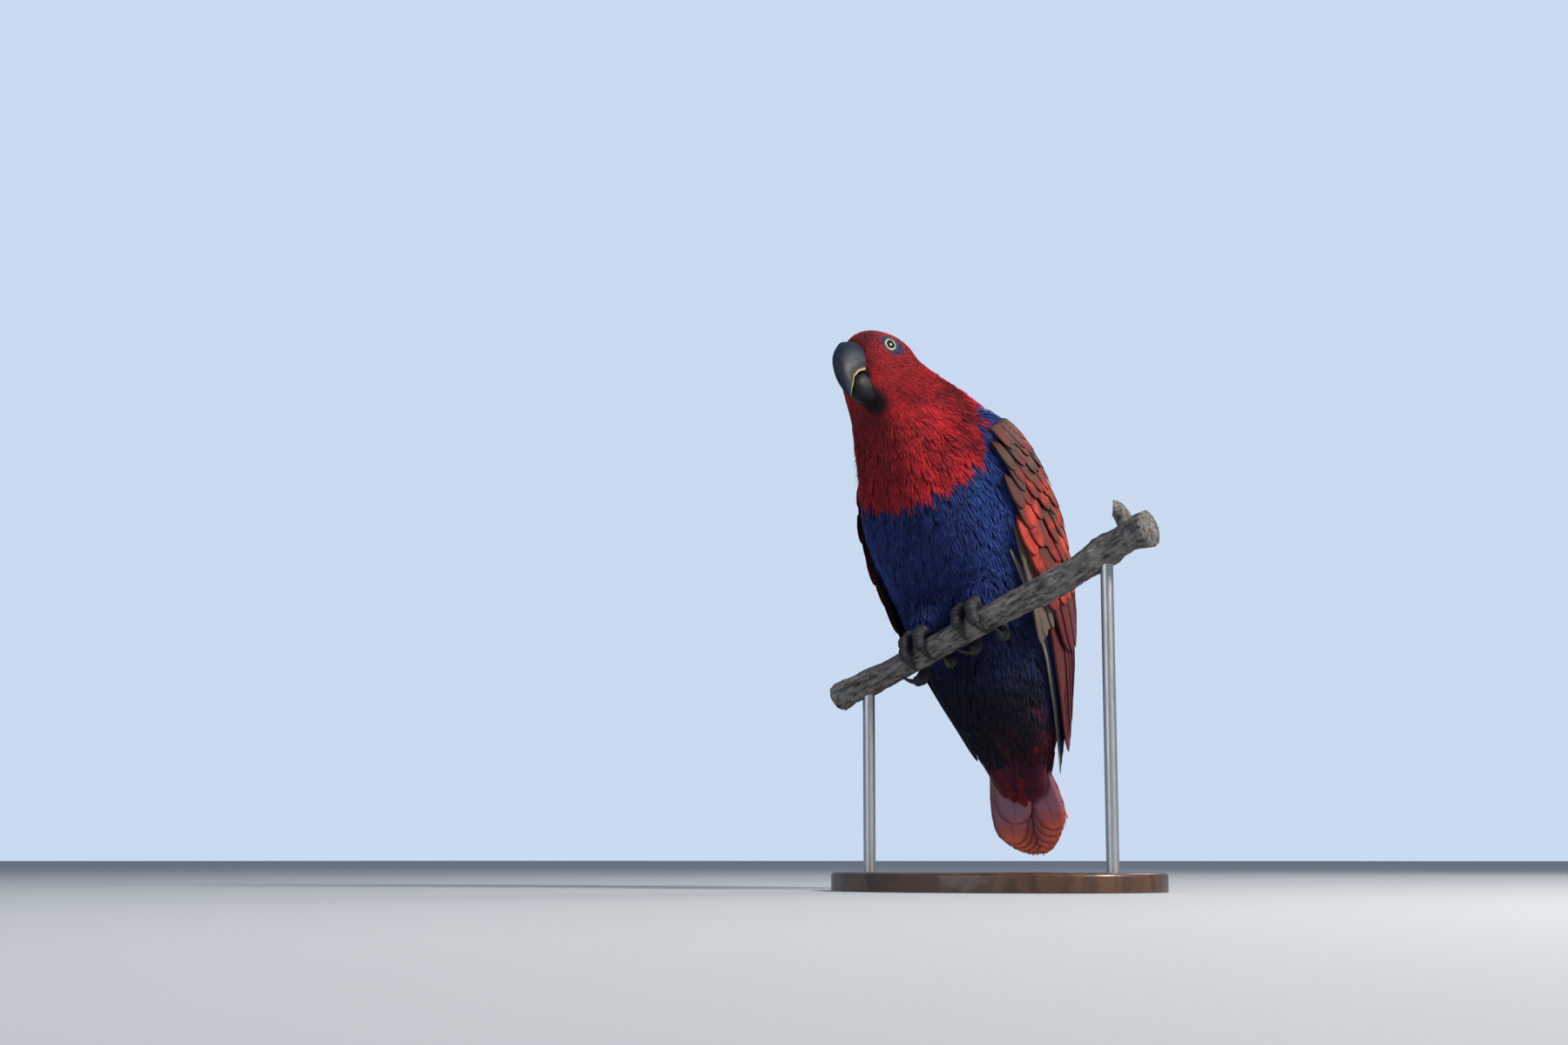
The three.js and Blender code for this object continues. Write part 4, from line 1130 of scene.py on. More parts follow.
class PARROT_OT_eyes(bpy.types.Operator):
    """Eyeballs with their lids"""

    bl_idname = "parrot.eyes"
    bl_label = "Eyes"

    def execute(self, context):
        eye_finish, lid_finish = eye_material(context.scene.bird_parts), lid_material()
        for side, word in SIDES:
            centre = Vector(((eye_centre(side) + BIRD) * MM).tolist())
            facing = Vector(eye_facing(side).tolist())
            bpy.ops.object.select_all(action="DESELECT")
            bpy.ops.mesh.primitive_uv_sphere_add(
                segments=48, ring_count=32, radius=EYE_RADIUS * MM, location=(0, 0, 0))
            eye = context.active_object
            eye.name = "eyeball_" + word
            facing = facing.to_track_quat("Z", "Y").to_matrix().to_4x4()
            eye.matrix_world = Matrix.Translation(centre) @ facing
            bpy.ops.object.transform_apply(location=True, rotation=True, scale=True)
            bpy.ops.object.shade_smooth()
            depth, flat = from_eye(points_of(eye), side)
            flat = np.where(depth > 0, np.linalg.norm(flat, axis=-1), 6)
            set_attribute(eye, "eye", np.stack([flat, depth, depth * 0], -1))
            dress(eye, eye_finish, "eye_dark", "eye_" + word)
            dress(self.lids(side, word), lid_finish, "eye_dark")
        return {"FINISHED"}

    def lids(self, side, word):
        """A rim of folded lid skin, a little pointed at its corners."""
        facing = eye_facing(side)
        across = unit(np.cross(HEAD_UP, facing))
        up = np.cross(facing, across)
        turn = np.linspace(0, 2 * math.pi, 72, endpoint=False)
        rings = []
        for radius, out in LID_SECTION:
            corner = 1 + 0.05 * np.abs(np.cos(turn)) ** 8
            crease = 1 + 0.008 * np.sin(turn * 21 + radius * 3)
            ring = radius * corner * crease
            rings.append(eye_centre(side) + facing * out + across * (ring * np.cos(turn))[:, None]
                         + up * (ring * np.sin(turn) * 0.97)[:, None])
        rings = np.array(rings)
        count = len(rings)
        sides = len(turn)
        faces = []
        for i in range(count):
            for j in range(sides):
                k = (j + 1) % sides
                n = (i + 1) % count
                faces.append([i * sides + j, i * sides + k, n * sides + k, n * sides + j])
        lid = mesh_piece("eyelid_" + word, rings.reshape(-1, 3), faces)
        put_outward(lid)
        bpy.ops.object.shade_smooth()
        return lid


class PARROT_OT_body_feathers(bpy.types.Operator):
    """The small feathers of the head, neck, breast, belly and back"""

    bl_idname = "parrot.body_feathers"
    bl_label = "Body feathers"

    def execute(self, context):
        plumage = context.scene.plumage
        skin, bills = MADE["skin"], MADE["bills"]
        draw = np.random.default_rng(plumage.seed)
        red = plumage_material("Red plumage", plumage, 0.08)
        blue = plumage_material("Blue plumage", plumage, 0.06)
        thin = 1 / math.sqrt(plumage.density)

        def from_head(p):
            return np.linalg.norm(p - head_point(4, 0, -6), axis=-1)

        def head_share(p):
            return smooth_step(50, 30, from_head(p))

        def length(p):
            s, _ = body_place(p)
            body = (
                11.5 - 1.5 * smooth_step(150, 220, s) + 2 * smooth_step(60, 20, s)
                + 4 * smooth_step(10, -40, s))
            near_eye = np.minimum(
                *(np.linalg.norm(p - (eye_centre(k) + eye_facing(k) * 5), axis=-1) for k in (1, -1)))
            f, _, _ = head_place(p)
            face = mix(6.0, 3.1, smooth_step(2, 16, f))
            face = np.minimum(face, mix(2.1, 6.0, smooth_step(5, 14, near_eye)))
            return mix(body, face, head_share(p))

        def width(p):
            s, _ = body_place(p)
            return mix(mix(1.05, 0.82, smooth_step(140, 170, s)), 0.64, head_share(p))

        def depth(p):
            return mix(plumage.depth / MM, 1.35, smooth_step(66, 34, from_head(p)))

        def stray(p):
            s, angle = body_place(p)
            on_side = smooth_step(-48, -66, angle)
            return 0.003 + 0.3 * on_side * smooth_step(148, 158, s) * smooth_step(196, 184, s)

        s, angle = skin.s, skin.angle
        turn = np.abs(angle)
        is_red = s > red_edge(turn) + 1
        head = head_share(skin.middles) > 0.5
        free_blue = ~is_red & ~under_wing(s, angle)
        front = free_blue & (turn <= 100)
        regions = [
            ("head_feathers", head, 0.8, red, "red_feathers", 0),
            ("neck_feathers", ~head & is_red & (s > 183), 0.95, red, "red_feathers", 18),
            ("breast_feathers", ~head & is_red & (s <= 183), 0.95, red, "red_feathers", 18),
            ("mantle_feathers", ~head & free_blue & (turn > 100) & (s > 136), 1.1, blue, "blue_feathers", 20),
            ("belly_feathers", front & (s > 66), 1.1, blue, "blue_feathers", 20),
            ("flank_feathers", front & (s <= 66) & (s > 4), 1.15, blue, "blue_feathers", 20),
            ("undertail_feathers", (turn <= 104) & (s <= 4) & (s > -56), 1.2, blue, "blue_feathers", 18),
        ]
        for name, wanted, spacing, material, slot, clump in regions:
            roots = skin.scatter(draw, spacing * thin, wanted)
            roots = roots[clear_of_face(roots, bills)]
            on_head = name == "head_feathers"
            stations, lift = ((0, 0.45, 1), 0.0) if on_head else ((0, 0.4, 0.75, 1), 0.8)
            loose = stray if slot == "red_feathers" and not on_head else None
            coat_of_strands(
                name, skin, draw, roots, length, width, depth, material, slot, clump, stations, lift, loose)
        self.back(plumage, skin, draw, plumage_material("Blue vanes", plumage, 0.06, 30.0))
        return {"FINISHED"}

    def back(self, plumage, skin, draw, material):
        """Broader feathers of the mantle and lower back."""
        turn = np.abs(skin.angle)
        top = np.minimum(red_edge(turn) - 1, 142)
        wanted = (turn > 92) & (skin.s < top) & (skin.s > -50) & ~under_wing(skin.s, skin.angle)
        roots = skin.scatter(draw, 2.5, wanted)
        count = len(roots)
        stations = (0, 0.25, 0.5, 0.72, 0.88, 1)
        lengths = mix(12, 17, draw.random(count))
        paths, normals = comb(skin, roots, lengths, stations)
        tall = plumage.depth / MM * mix(0.8, 1.05, draw.random(count))
        paths = paths + normals * (feather_rises(stations)[None] * tall[:, None])[..., None]
        shares = (0.5, 0.9, 1.0, 0.9, 0.62, 0.18)
        widths = mix(4.6, 6.4, draw.random(count))
        piece = blades(
            "back_feathers", paths, normals, widths, VANE_NARROW, draw.random(count), shares,
            skin_unwrap(roots), thickness=0.5, cup=0.12)
        finish_coat(piece, roots, len(stations) * len(VANE_NARROW), material, "blue_feathers", all_blue=130)


def surface_path(table, s, angle, lift):
    """Points and outward normals on a table's surface."""
    point = body_point(table, s, angle, lift)
    round_it = body_point(table, s, angle + 2, lift) - body_point(table, s, angle - 2, lift)
    up = body_point(table, s + 2, angle, lift) - body_point(table, s - 2, angle, lift)
    return point, unit(np.cross(round_it, up))


# Outlines of feathers: place along the shaft, share of the width
LONG_SHARES = (
    (0, 0.16), (0.1, 0.62), (0.3, 0.95), (0.5, 1), (0.7, 0.97), (0.84, 0.85), (0.93, 0.64),
    (0.98, 0.36), (1, 0.12),
)
COVERT_SHARES = (
    (0, 0.16), (0.16, 0.74), (0.45, 1), (0.65, 0.98), (0.8, 0.84), (0.91, 0.6), (0.97, 0.36), (1, 0.12),
)
PRIMARY_SHARES = (
    (0, 0.14), (0.22, 0.92), (0.5, 1), (0.7, 0.86), (0.84, 0.66), (0.93, 0.46), (0.98, 0.28), (1, 0.1),
)
# The broad, blunt tail feathers: share of the width at the places of the long ones
TAIL_SHARES = (0.6, 0.7, 0.86, 0.98, 1, 0.92, 0.74, 0.45, 0.16)

# count, root s [front, back], tip s, angle at the root and at the tip, width,
# lift at the root and at the tip, tone
WING_ROWS = (
    (10, (175, 170), (158, 154), (93, 126), (90, 132), (9, 10), (-3.2, -0.3), 0.0),
    (11, (168, 164), (148, 146), (86, 132), (83, 138), (10, 11), (-3.0, -0.2), 0.1),
    (12, (158, 155), (136, 136), (82, 139), (79, 145), (10.5, 12), (-3.0, -0.1), 0.2),
    (13, (147, 146), (123, 125), (78, 144), (76, 150), (11, 12.5), (-3.0, -0.1), 0.3),
    (13, (134, 136), (108, 114), (75, 148), (74, 155), (11.5, 13), (-3.0, -0.1), 0.4),
    (13, (120, 126), (93, 103), (73, 151), (74, 158), (12.5, 13.5), (-3.0, 0.0), 0.55),
    (12, (106, 114), (74, 90), (73, 153), (77, 161), (14, 15), (-3.1, 0.0), 0.7),
    (12, (94, 101), (50, 66), (76, 154), (82, 164), (15.5, 16), (-3.2, 0.0), 0.85),
    (11, (76, 88), (20, 30), (82, 152), (92, 165), (17, 17), (-3.4, 0.0), 1.0),
    (7, (62, 72), (-50, -22), (78, 118), (95, 130), (17, 17), (-4.9, -0.8), 1.1),
)
TERTIALS = (3, (108, 118), (0, 26), (158, 166), (168, 177), (17, 18), (-4.7, 1.2), 0.8)
PRIMARY_COVERTS = (8, (122, 114), (34, 50), (69, 82), (64, 92), (9.5, 11.5), (-5, -2.4), 1.5)
PRIMARIES = (9, (100, 92), (-62, -14), (59, 84), (92, 118), (9.5, 14), (-6, -2.8), 2.0)
# The right wing's primaries are tucked closer to the tail
PRIMARIES_TUCKED = (9, (100, 92), (-48, -12), (60, 86), (99, 122), (9.5, 14), (-4.6, -2.8), 2.0)


def wing_vanes(side, row, draw, shares):
    """Paths, normals and widths of one row of wing feathers."""
    count, root, tip, from_angle, to_angle, width, lift, tone = row
    u = np.linspace(0, 1, count)
    if tone < 2:
        u = np.clip(u + draw.normal(0, 0.02, count), -0.03, 1.03)
    t = np.array([p for p, _ in shares])[None]
    tucked = side < 0 and 1 <= tone < 1.2
    tip_s = mix(*tip, u) + (draw.normal(0, 2.2, count) if tone < 2 else 0)
    if tucked:
        tip_s = np.maximum(tip_s, mix(24, 12, u))
        to_angle = (to_angle[0] + 8, to_angle[1] + 4)
    s = mix(mix(*root, u)[:, None], tip_s[:, None], t)
    angle = side * mix(mix(*from_angle, u)[:, None], mix(*to_angle, u)[:, None], t)
    if tone == 2:
        height = mix(*lift, u)[:, None] - 1.5 * smooth_step(0.2, 0, t)
    else:
        height = mix(*lift, t ** 0.8) - 2.4 * smooth_step(0.14, 0, t)
        height = height + draw.normal(0, 0.2, count)[:, None]
        height = np.minimum(height, 1.4 if tone in (0.8, 1.0) else 0.3)
    paths, normals = surface_path(FOLDED_WING, s, angle, height)
    if normals[0, 0] @ (paths[0, 0] - body_frame(s[0, 0])[0]) < 0:
        normals = -normals
    # Each feather leans on the next one towards the back
    across = np.cross(unit(paths[:, -1:] - paths[:, :1]), normals)
    normals = unit(normals - side * 0.1 * across)
    return paths, normals, mix(*width, u) * draw.normal(1.06, 0.07, count)


def wing_material(name, settings, primary):
    material, nodes, shader = new_material(name, sheen=0.02, sheen_roughness=0.4, specular=0.12)
    t, across, draw = nodes.attribute("feather")
    tone, row_place, side = nodes.attribute("row")
    front = nodes.times(across, side)
    place = nodes.object_place()
    broad = nodes.noise(place, 52, 4, 0.55, 0.8)
    fine = nodes.noise(place, 420, 2)
    if primary:
        dark = nodes.mix(fine, (0.007, 0.008, 0.014, 1), (0.02, 0.022, 0.03, 1))
        outer = nodes.range(front, 0.5, 0.9)
        blue = nodes.mix(nodes.times(outer, 0.6), dark, settings.bright_blue[:])
        pale = nodes.mix(fine, (0.14, 0.115, 0.1, 1), (0.28, 0.24, 0.215, 1))
        narrower = nodes.times(nodes.range(t, 0.3, 1.0), 0.9)
        first = nodes.range(row_place, 0.1, 0.02)
        lead = nodes.times(first, nodes.range(nodes.minus(front, narrower), -0.8, -0.4))
        # Painted shade: the pale leading edge is mostly dimmed on the right wing
        lead = nodes.times(lead, nodes.range(side, -1.0, 1.0, 0.1, 1.0))
        colour = nodes.mix(lead, blue, pale)
    else:
        patch = nodes.plus(nodes.times(broad, 0.9), nodes.times(draw, 0.2))
        redder = nodes.plus(patch, nodes.times(tone, 0.3))
        red = nodes.mix(nodes.range(redder, 0.5, 0.82), settings.wing_brown[:], settings.wing_red[:])
        bright = nodes.mix(nodes.range(redder, 0.7, 0.92), red, (0.46, 0.058, 0.036, 1))
        tip = nodes.mix(nodes.times(nodes.range(t, 0.72, 1.0), 0.3), bright, (0.13, 0.05, 0.035, 1))
        maroon = nodes.mix(fine, (0.075, 0.018, 0.022, 1), (0.13, 0.03, 0.032, 1))
        tip = nodes.mix(nodes.range(tone, 0.78, 1.02), tip, maroon)
        grey_brown = nodes.mix(fine, (0.09, 0.066, 0.052, 1), (0.18, 0.14, 0.115, 1))
        tip = nodes.mix(nodes.range(tone, 1.2, 1.4), tip, grey_brown)
        colour = nodes.mix(nodes.range(t, 0.0, 0.4, 0.25, 0.0), tip, (0.02, 0.006, 0.006, 1))
    barbs = place_group(nodes, barb_group(), Count=34.0, Slant=0.22)
    colour = nodes.mix(nodes.times(barbs["Mask"], 0.22), colour, (0.0, 0.0, 0.0, 1))
    colour = nodes.mix(nodes.times(barbs["Shaft"], 0.5), colour, (0.03, 0.015, 0.012, 1))
    nodes.paint(shader, colour, nodes.range(fine, 0.2, 0.8, 0.75, 0.55), (barbs["Height"], 0.5, 0.0003))
    return material


class PARROT_OT_wings(bpy.types.Operator):
    """Both folded wings: coverts, secondaries, tertials and primaries"""

    bl_idname = "parrot.wings"
    bl_label = "Wings"

    def execute(self, context):
        plumage = context.scene.plumage
        coverts = wing_material("Wing coverts", plumage, False)
        flight = wing_material("Wing primaries", plumage, True)
        for side, word in SIDES:
            draw = np.random.default_rng(plumage.seed + 5)
            rows = [(row, LONG_SHARES if row[-1] >= 0.8 else COVERT_SHARES)
                    for row in (PRIMARY_COVERTS, *WING_ROWS, TERTIALS)]
            self.make("wing_coverts_" + word, side, rows, draw, coverts, "wing_" + word)
            long_row = PRIMARIES if side > 0 else PRIMARIES_TUCKED
            self.make("wing_primaries_" + word, side, [(long_row, PRIMARY_SHARES)], draw, flight)
        return {"FINISHED"}

    def make(self, name, side, rows, draw, material, *nodes):
        """One piece from rows of wing feathers."""
        parts = []
        for row, shares in rows:
            count = row[0]
            paths, normals, widths = wing_vanes(side, row, draw, shares)
            cup = 0.0 if row[-1] == 2 else 0.1
            piece = blades(
                name, paths, normals, widths, VANE, draw.random(count), [w for _, w in shares],
                skin_unwrap(paths[:, 2]), (0.014, 0.016), thickness=0.3, cup=cup)
            across_row = np.repeat(np.linspace(0, 1, count), len(shares) * len(VANE))
            set_attribute(piece, "row", np.stack(
                [np.full_like(across_row, row[-1]), across_row, np.full_like(across_row, side)], -1))
            parts.append(piece)
        dress(joined(name, parts), material, "wing_feathers", *nodes)


def tail_material(settings):
    material, nodes, shader = new_material("Tail feathers", sheen=0.05, sheen_roughness=0.4, specular=0.25)
    t, across, _ = nodes.attribute("feather")
    place = nodes.object_place()
    fine = nodes.noise(place, 500, 2)
    broad = nodes.noise(place, 60, 3)
    grey = nodes.mix(nodes.range(broad, 0.3, 0.65), (0.3, 0.15, 0.2, 1), settings.tail_red[:])
    end = nodes.plus(t, nodes.times(nodes.minus(fine, 0.5), 0.16))
    # The middle feathers, seen from above, are red; the outer ones, seen from below, are dull
    rank, _, _ = nodes.attribute("row")
    grey = nodes.mix(nodes.range(rank, 0.05, 0.5), (0.26, 0.022, 0.024, 1), grey)
    red = nodes.mix(nodes.range(end, 0.46, 0.7), grey, (0.6, 0.12, 0.105, 1))
    tip = nodes.mix(nodes.range(end, 0.64, 0.86), red, settings.tail_tip[:])
    barbs = place_group(nodes, barb_group(), Count=80.0, Slant=0.14)
    colour = nodes.mix(nodes.times(barbs["Mask"], 0.12), tip, (0.0, 0.0, 0.0, 1))
    colour = nodes.mix(nodes.times(barbs["Shaft"], 0.35), colour, (0.05, 0.02, 0.02, 1))
    edge = nodes.range(nodes.math("ABSOLUTE", across), 0.8, 1.0)
    colour = nodes.mix(nodes.times(edge, 0.5), colour, (0.5, 0.1, 0.09, 1))
    nodes.paint(shader, colour, nodes.range(fine, 0.2, 0.8, 0.6, 0.42), (barbs["Height"], 0.5, 0.0003))
    return material


# count, root s, tip s, angle at the root [from, to], angle at the tip, width
COVERTS = (
    (7, 8, -26, (-66, 66), (-58, 58), 17), (7, 0, -36, (-60, 60), (-52, 52), 17),
    (7, -8, -46, (-56, 56), (-47, 47), 17), (6, -18, -56, (-50, 50), (-42, 42), 16),
    (6, -28, -66, (-46, 46), (-38, 38), 15), (5, -38, -76, (-40, 40), (-32, 32), 14),
    (7, 22, -10, (128, 232), (134, 226), 16), (7, 12, -22, (130, 230), (137, 223), 16),
    (6, 0, -36, (132, 228), (140, 220), 17), (6, -12, -50, (134, 226), (143, 217), 17),
    (5, -24, -66, (136, 224), (146, 214), 17),
)


class PARROT_OT_tail(bpy.types.Operator):
    """The twelve tail feathers, a short one under them and the coverts at their roots"""

    bl_idname = "parrot.tail"
    bl_label = "Tail"

    def execute(self, context):
        plumage = context.scene.plumage
        draw = np.random.default_rng(plumage.seed + 9)
        self.feathers(plumage, draw)
        self.coverts(draw)
        return {"FINISHED"}

    def feathers(self, plumage, draw):
        middle, ahead, left, back = body_frame(TAIL_AT)
        t = np.array([p for p, _ in LONG_SHARES])
        last_rank = TAIL_FEATHERS // 2 - 1
        paths = []
        for i in range(TAIL_FEATHERS + 1):
            rank, side = i // 2, 1 if i % 2 else -1
            u = rank / last_rank
            across = 2 + 16 * u if side > 0 else -(3 + 15 * u)
            up = 3 * TAIL_STEP - rank * TAIL_STEP - (TAIL_STEP / 2 if side > 0 else 0)
            length = TAIL_LENGTH - (TAIL_SHORTER * u ** 1.6 if side > 0 else TAIL_SHORTER_RIGHT * u ** 2)
            if i == TAIL_FEATHERS:
                across, length = UNDER_FEATHER
            down = mix(-8, length, t)
            over = mix(across * 0.6, across, t)
            sag = 0.8 * np.sin(t * math.pi) + draw.normal(0, 0.1)
            paths.append(middle - ahead * down[:, None] + left * over[:, None] + back * (up + sag)[:, None])
        paths = np.array(paths)
        count = len(paths)
        normals = np.broadcast_to(back, paths.shape)
        sides = np.where(np.arange(count) % 2, 1, 1.13)
        piece = blades(
            "tail_feathers", paths, normals, TAIL_WIDTH * sides, VANE, draw.random(count), TAIL_SHARES,
            skin_unwrap(paths[:, 1]), (0.006, 0.04), thickness=0.14, cup=0.05)
        feather = np.empty(len(piece.data.vertices) * 3)
        values = piece.data.attributes["feather"].data
        values.foreach_get("vector", feather)
        # The under-feather ends before the bright tip
        feather[-3 * len(TAIL_SHARES) * len(VANE)::3] *= 0.72
        values.foreach_set("vector", feather)
        rank = np.repeat(np.arange(count) // 2, len(TAIL_SHARES) * len(VANE)) / last_rank
        set_attribute(piece, "row", np.stack([rank, rank, rank], -1))
        material = tail_material(plumage)
        dress(piece, material, "tail_feathers", "tail")
        self.fringe(paths[:TAIL_FEATHERS], draw, left, back, material)

    def fringe(self, paths, draw, left, back, material):
        """Loose barbs round the end of each tail feather."""
        lines, ups, roots = [], [], []
        for path in paths:
            t = np.array([p for p, _ in LONG_SHARES])
            for turn in np.linspace(-1, 1, 64):
                at = 1 - 0.17 * abs(turn) ** 1.7
                half = np.interp(at, t, TAIL_SHARES) * TAIL_WIDTH / 2
                middle = np.array([np.interp(at, t, path[:, k]) for k in range(3)])
                over = math.copysign(1, turn) * half * min(1, abs(turn) * 1.15)
                root = middle + left * over + back * draw.normal(0, 0.12)
                down = unit(path[-1] - path[-2])
                way = unit(down + left * (turn * 0.4 + draw.normal(0, 0.07)) + back * draw.normal(0, 0.04))
                reach = draw.uniform(0.5, 1.8)
                lines.append(root - way * 1.2 + np.outer((0, 0.5, 1), way) * (reach + 1.2))
                ups.append(np.tile(back, (3, 1)))
                roots.append(root)
        count = len(lines)
        piece = blades(
            "tail_fringe", np.array(lines), np.array(ups), np.full(count, 0.5), STRAND, draw.random(count),
            (1, 0.8, 0.08), skin_unwrap(np.array(roots)))
        points = len(piece.data.vertices)
        feather = np.tile((0.97, 0.5, 0.5), (points, 1))
        piece.data.attributes["feather"].data.foreach_set("vector", feather.astype(np.float32).ravel())
        set_attribute(piece, "row", np.ones((points, 3)))
        dress(piece, material, "tail_feathers")

    def coverts(self, draw):
        blue = bpy.data.materials["Blue vanes"]
        shares = [w for _, w in COVERT_SHARES]
        t = np.array([p for p, _ in COVERT_SHARES])[None]
        paths, normals, widths, roots = [], [], [], []
        for count, root, tip, from_angle, to_angle, width in COVERTS:
            u = np.linspace(0, 1, count)
            middle = 1 - np.abs(2 * u - 1)
            s = mix(root, (tip - 5 * middle + draw.normal(0, 1, count))[:, None], t)
            angle = mix(mix(*from_angle, u)[:, None], mix(*to_angle, u)[:, None], t)
            high = 1.3 if from_angle[0] > 90 else mix(-1.4, 0.6, smooth_step(-48, -60, s))
            lift = mix(-5.0, high, np.minimum(1, t * 1.6)) + draw.normal(0, 0.2, count)[:, None]
            path, normal = surface_path(TRUNK, s, angle, lift)
            paths.append(path)
            normals.append(normal)
            widths.append(np.full(count, width) * mix(0.9, 1.1, draw.random(count)))
            roots.append(path[:, 3])
        paths, normals = np.concatenate(paths), np.concatenate(normals)
        widths, roots = np.concatenate(widths), np.concatenate(roots)
        piece = blades(
            "tail_coverts", paths, normals, widths, VANE, draw.random(len(paths)), shares, skin_unwrap(roots),
            (0.006, 0.006), thickness=0.4, cup=0.14)
        finish_coat(piece, roots, len(shares) * len(VANE), blue, "blue_feathers", "rump")


def foot_material(settings):
    material, nodes, shader = new_material("Foot scales", roughness=0.62, specular=0.35)
    place = nodes.object_place()
    cells = nodes.add("ShaderNodeTexVoronoi", feature="DISTANCE_TO_EDGE")
    nodes.link(place, cells.inputs["Vector"])
    cells.inputs["Scale"].default_value = 850
    crack = nodes.range(cells.outputs["Distance"], 0.0, 0.16)
    broad = nodes.noise(place, 180, 4)
    pale = nodes.mix(nodes.range(broad, 0.5, 0.8), settings.foot[:], (0.06, 0.058, 0.055, 1))
    colour = nodes.mix(crack, (0.012, 0.012, 0.013, 1), pale)
    scute, _, _ = nodes.attribute("scute")
    colour = nodes.mix(nodes.times(scute, 0.8), colour, (0.005, 0.005, 0.006, 1))
    nodes.paint(shader, colour, nodes.range(broad, 0.3, 0.8, 0.5, 0.75), (crack, 0.35, 0.0003))
    return material


def claw_material(settings):
    material, nodes, shader = new_material("Claw horn", roughness=0.4, specular=0.35)
    place = nodes.object_place()
    grain = nodes.noise(place, 700, 4)
    colour = nodes.mix(grain, settings.claw[:], (0.03, 0.028, 0.027, 1))
    nodes.paint(shader, colour, nodes.range(grain, 0.3, 0.7, 0.36, 0.55), (grain, 0.2, 0.0002))
    return material


def toe_line(toe, side, t):
    """Centres and radii of a toe's stations."""
    _, toe_side, start, end, loose, spread, drift, base, tip = toe
    a = side * (FOOT_SPACING + toe_side * spread)
    radius = mix(base, tip, t) + 0.35 * np.cos(t * math.pi * 5)
    lift = 0.55 + radius + loose * t * t
    return perch_point(a + side * toe_side * drift * t, mix(start, end, t), PERCH_RADIUS + lift), radius


class PARROT_OT_feet(bpy.types.Operator):
    """Feet, toes and claws that grip the perch"""

    bl_idname = "parrot.feet"
    bl_label = "Feet"

    def execute(self, context):
        settings = context.scene.bird_parts
        scales, horn = foot_material(settings), claw_material(settings)
        for side, word in SIDES:
            for toe in TOES:
                self.toe(toe, side, word, scales)
                self.claw(toe, side, word, horn)
            self.foot(side, word, scales)
        return {"FINISHED"}

    def toe(self, toe, side, word, material):
        stations = 54
        t = np.linspace(-0.08, 1.04, stations)
        _, radii = toe_line(toe, side, np.clip(t, 0, 1))
        ends = np.clip(np.minimum((t + 0.08) / 0.07, (1.04 - t) / 0.06), 0.05, 1) ** 0.5
        centres, _ = toe_line(toe, side, t)
        wave = np.abs(np.sin(t * math.pi * TOE_PLATES))
        plates = 0.5 * wave ** 0.6 - 0.34
        away = unit(centres - PERCH_ALONG * (centres @ PERCH_ALONG)[:, None])
        rings = tube_rings(centres, np.ones(stations), 26, PERCH_ALONG)
        out = rings - centres[:, None]
        top = (out * away[:, None]).sum(-1)
        shape = radii[:, None] * ends[:, None] + plates[:, None] * smooth_step(-0.5, 0.3, top) * ends[:, None]
        rings = centres[:, None] + out * shape[..., None]
        piece = loft_part(toe[0] + "_scaled_" + word, rings)
        crack = (1 - wave[:, None] ** 0.35) * smooth_step(-0.5, 0.2, top)
        set_attribute(piece, "scute", np.stack([crack, top, top * 0], -1).reshape(-1, 3))
        self.finish(piece, material, "foot_scales", toe[0] + "_" + word)

    def foot(self, side, word, material):
        pad, ankle, _ = foot_places(side)
        share = np.linspace(-0.16, 0.86, 40)
        line = pad + (ankle - pad) * share[:, None]
        wide = np.interp(share, (-0.16, -0.1, 0, 0.2, 0.4, 1.1), (1.2, 4.2, 6.2, 5.4, 4.3, 4.4))
        plates = np.abs(np.sin(share * 30))
        rings = tube_rings(line, wide + 0.22 * plates, 30, PERCH_ALONG)
        piece = loft_part("foot_scaled_" + word, rings)
        crack = 1 - plates ** 0.35
        set_attribute(piece, "scute", np.repeat(np.stack([crack, share, share * 0], -1), 30, axis=0))
        self.finish(piece, material, "foot_scales", "foot_" + word)

    def claw(self, toe, side, word, material):
        centres, _ = toe_line(toe, side, np.array((0.9, 1.0)))
        heading = unit(centres[1] - centres[0])
        turn = math.copysign(1, toe[3] - toe[2])
        place = centres[1] - heading * CLAW_SUNK
        steps = 18
        line, radii = [], []
        for i in range(steps + 1):
            share = i / steps
            line.append(place.copy())
            radii.append(CLAW_RADIUS * (1 - share) ** 0.75 + 0.08)
            heading = turned(heading, PERCH_ALONG, turn * CLAW_CURL / steps)
            place = place + heading * (CLAW_LENGTH + 0.8) / steps
        name = toe[0].replace("toe", "claw")
        piece = loft_part(name + "_horn_" + word, tube_rings(line, radii, 20, PERCH_ALONG))
        self.finish(piece, material, "claw_horn", name + "_" + word)

    def finish(self, piece, material, slot, node):
        put_outward(piece)
        bpy.ops.object.shade_smooth()
        dress(piece, material, slot, node)


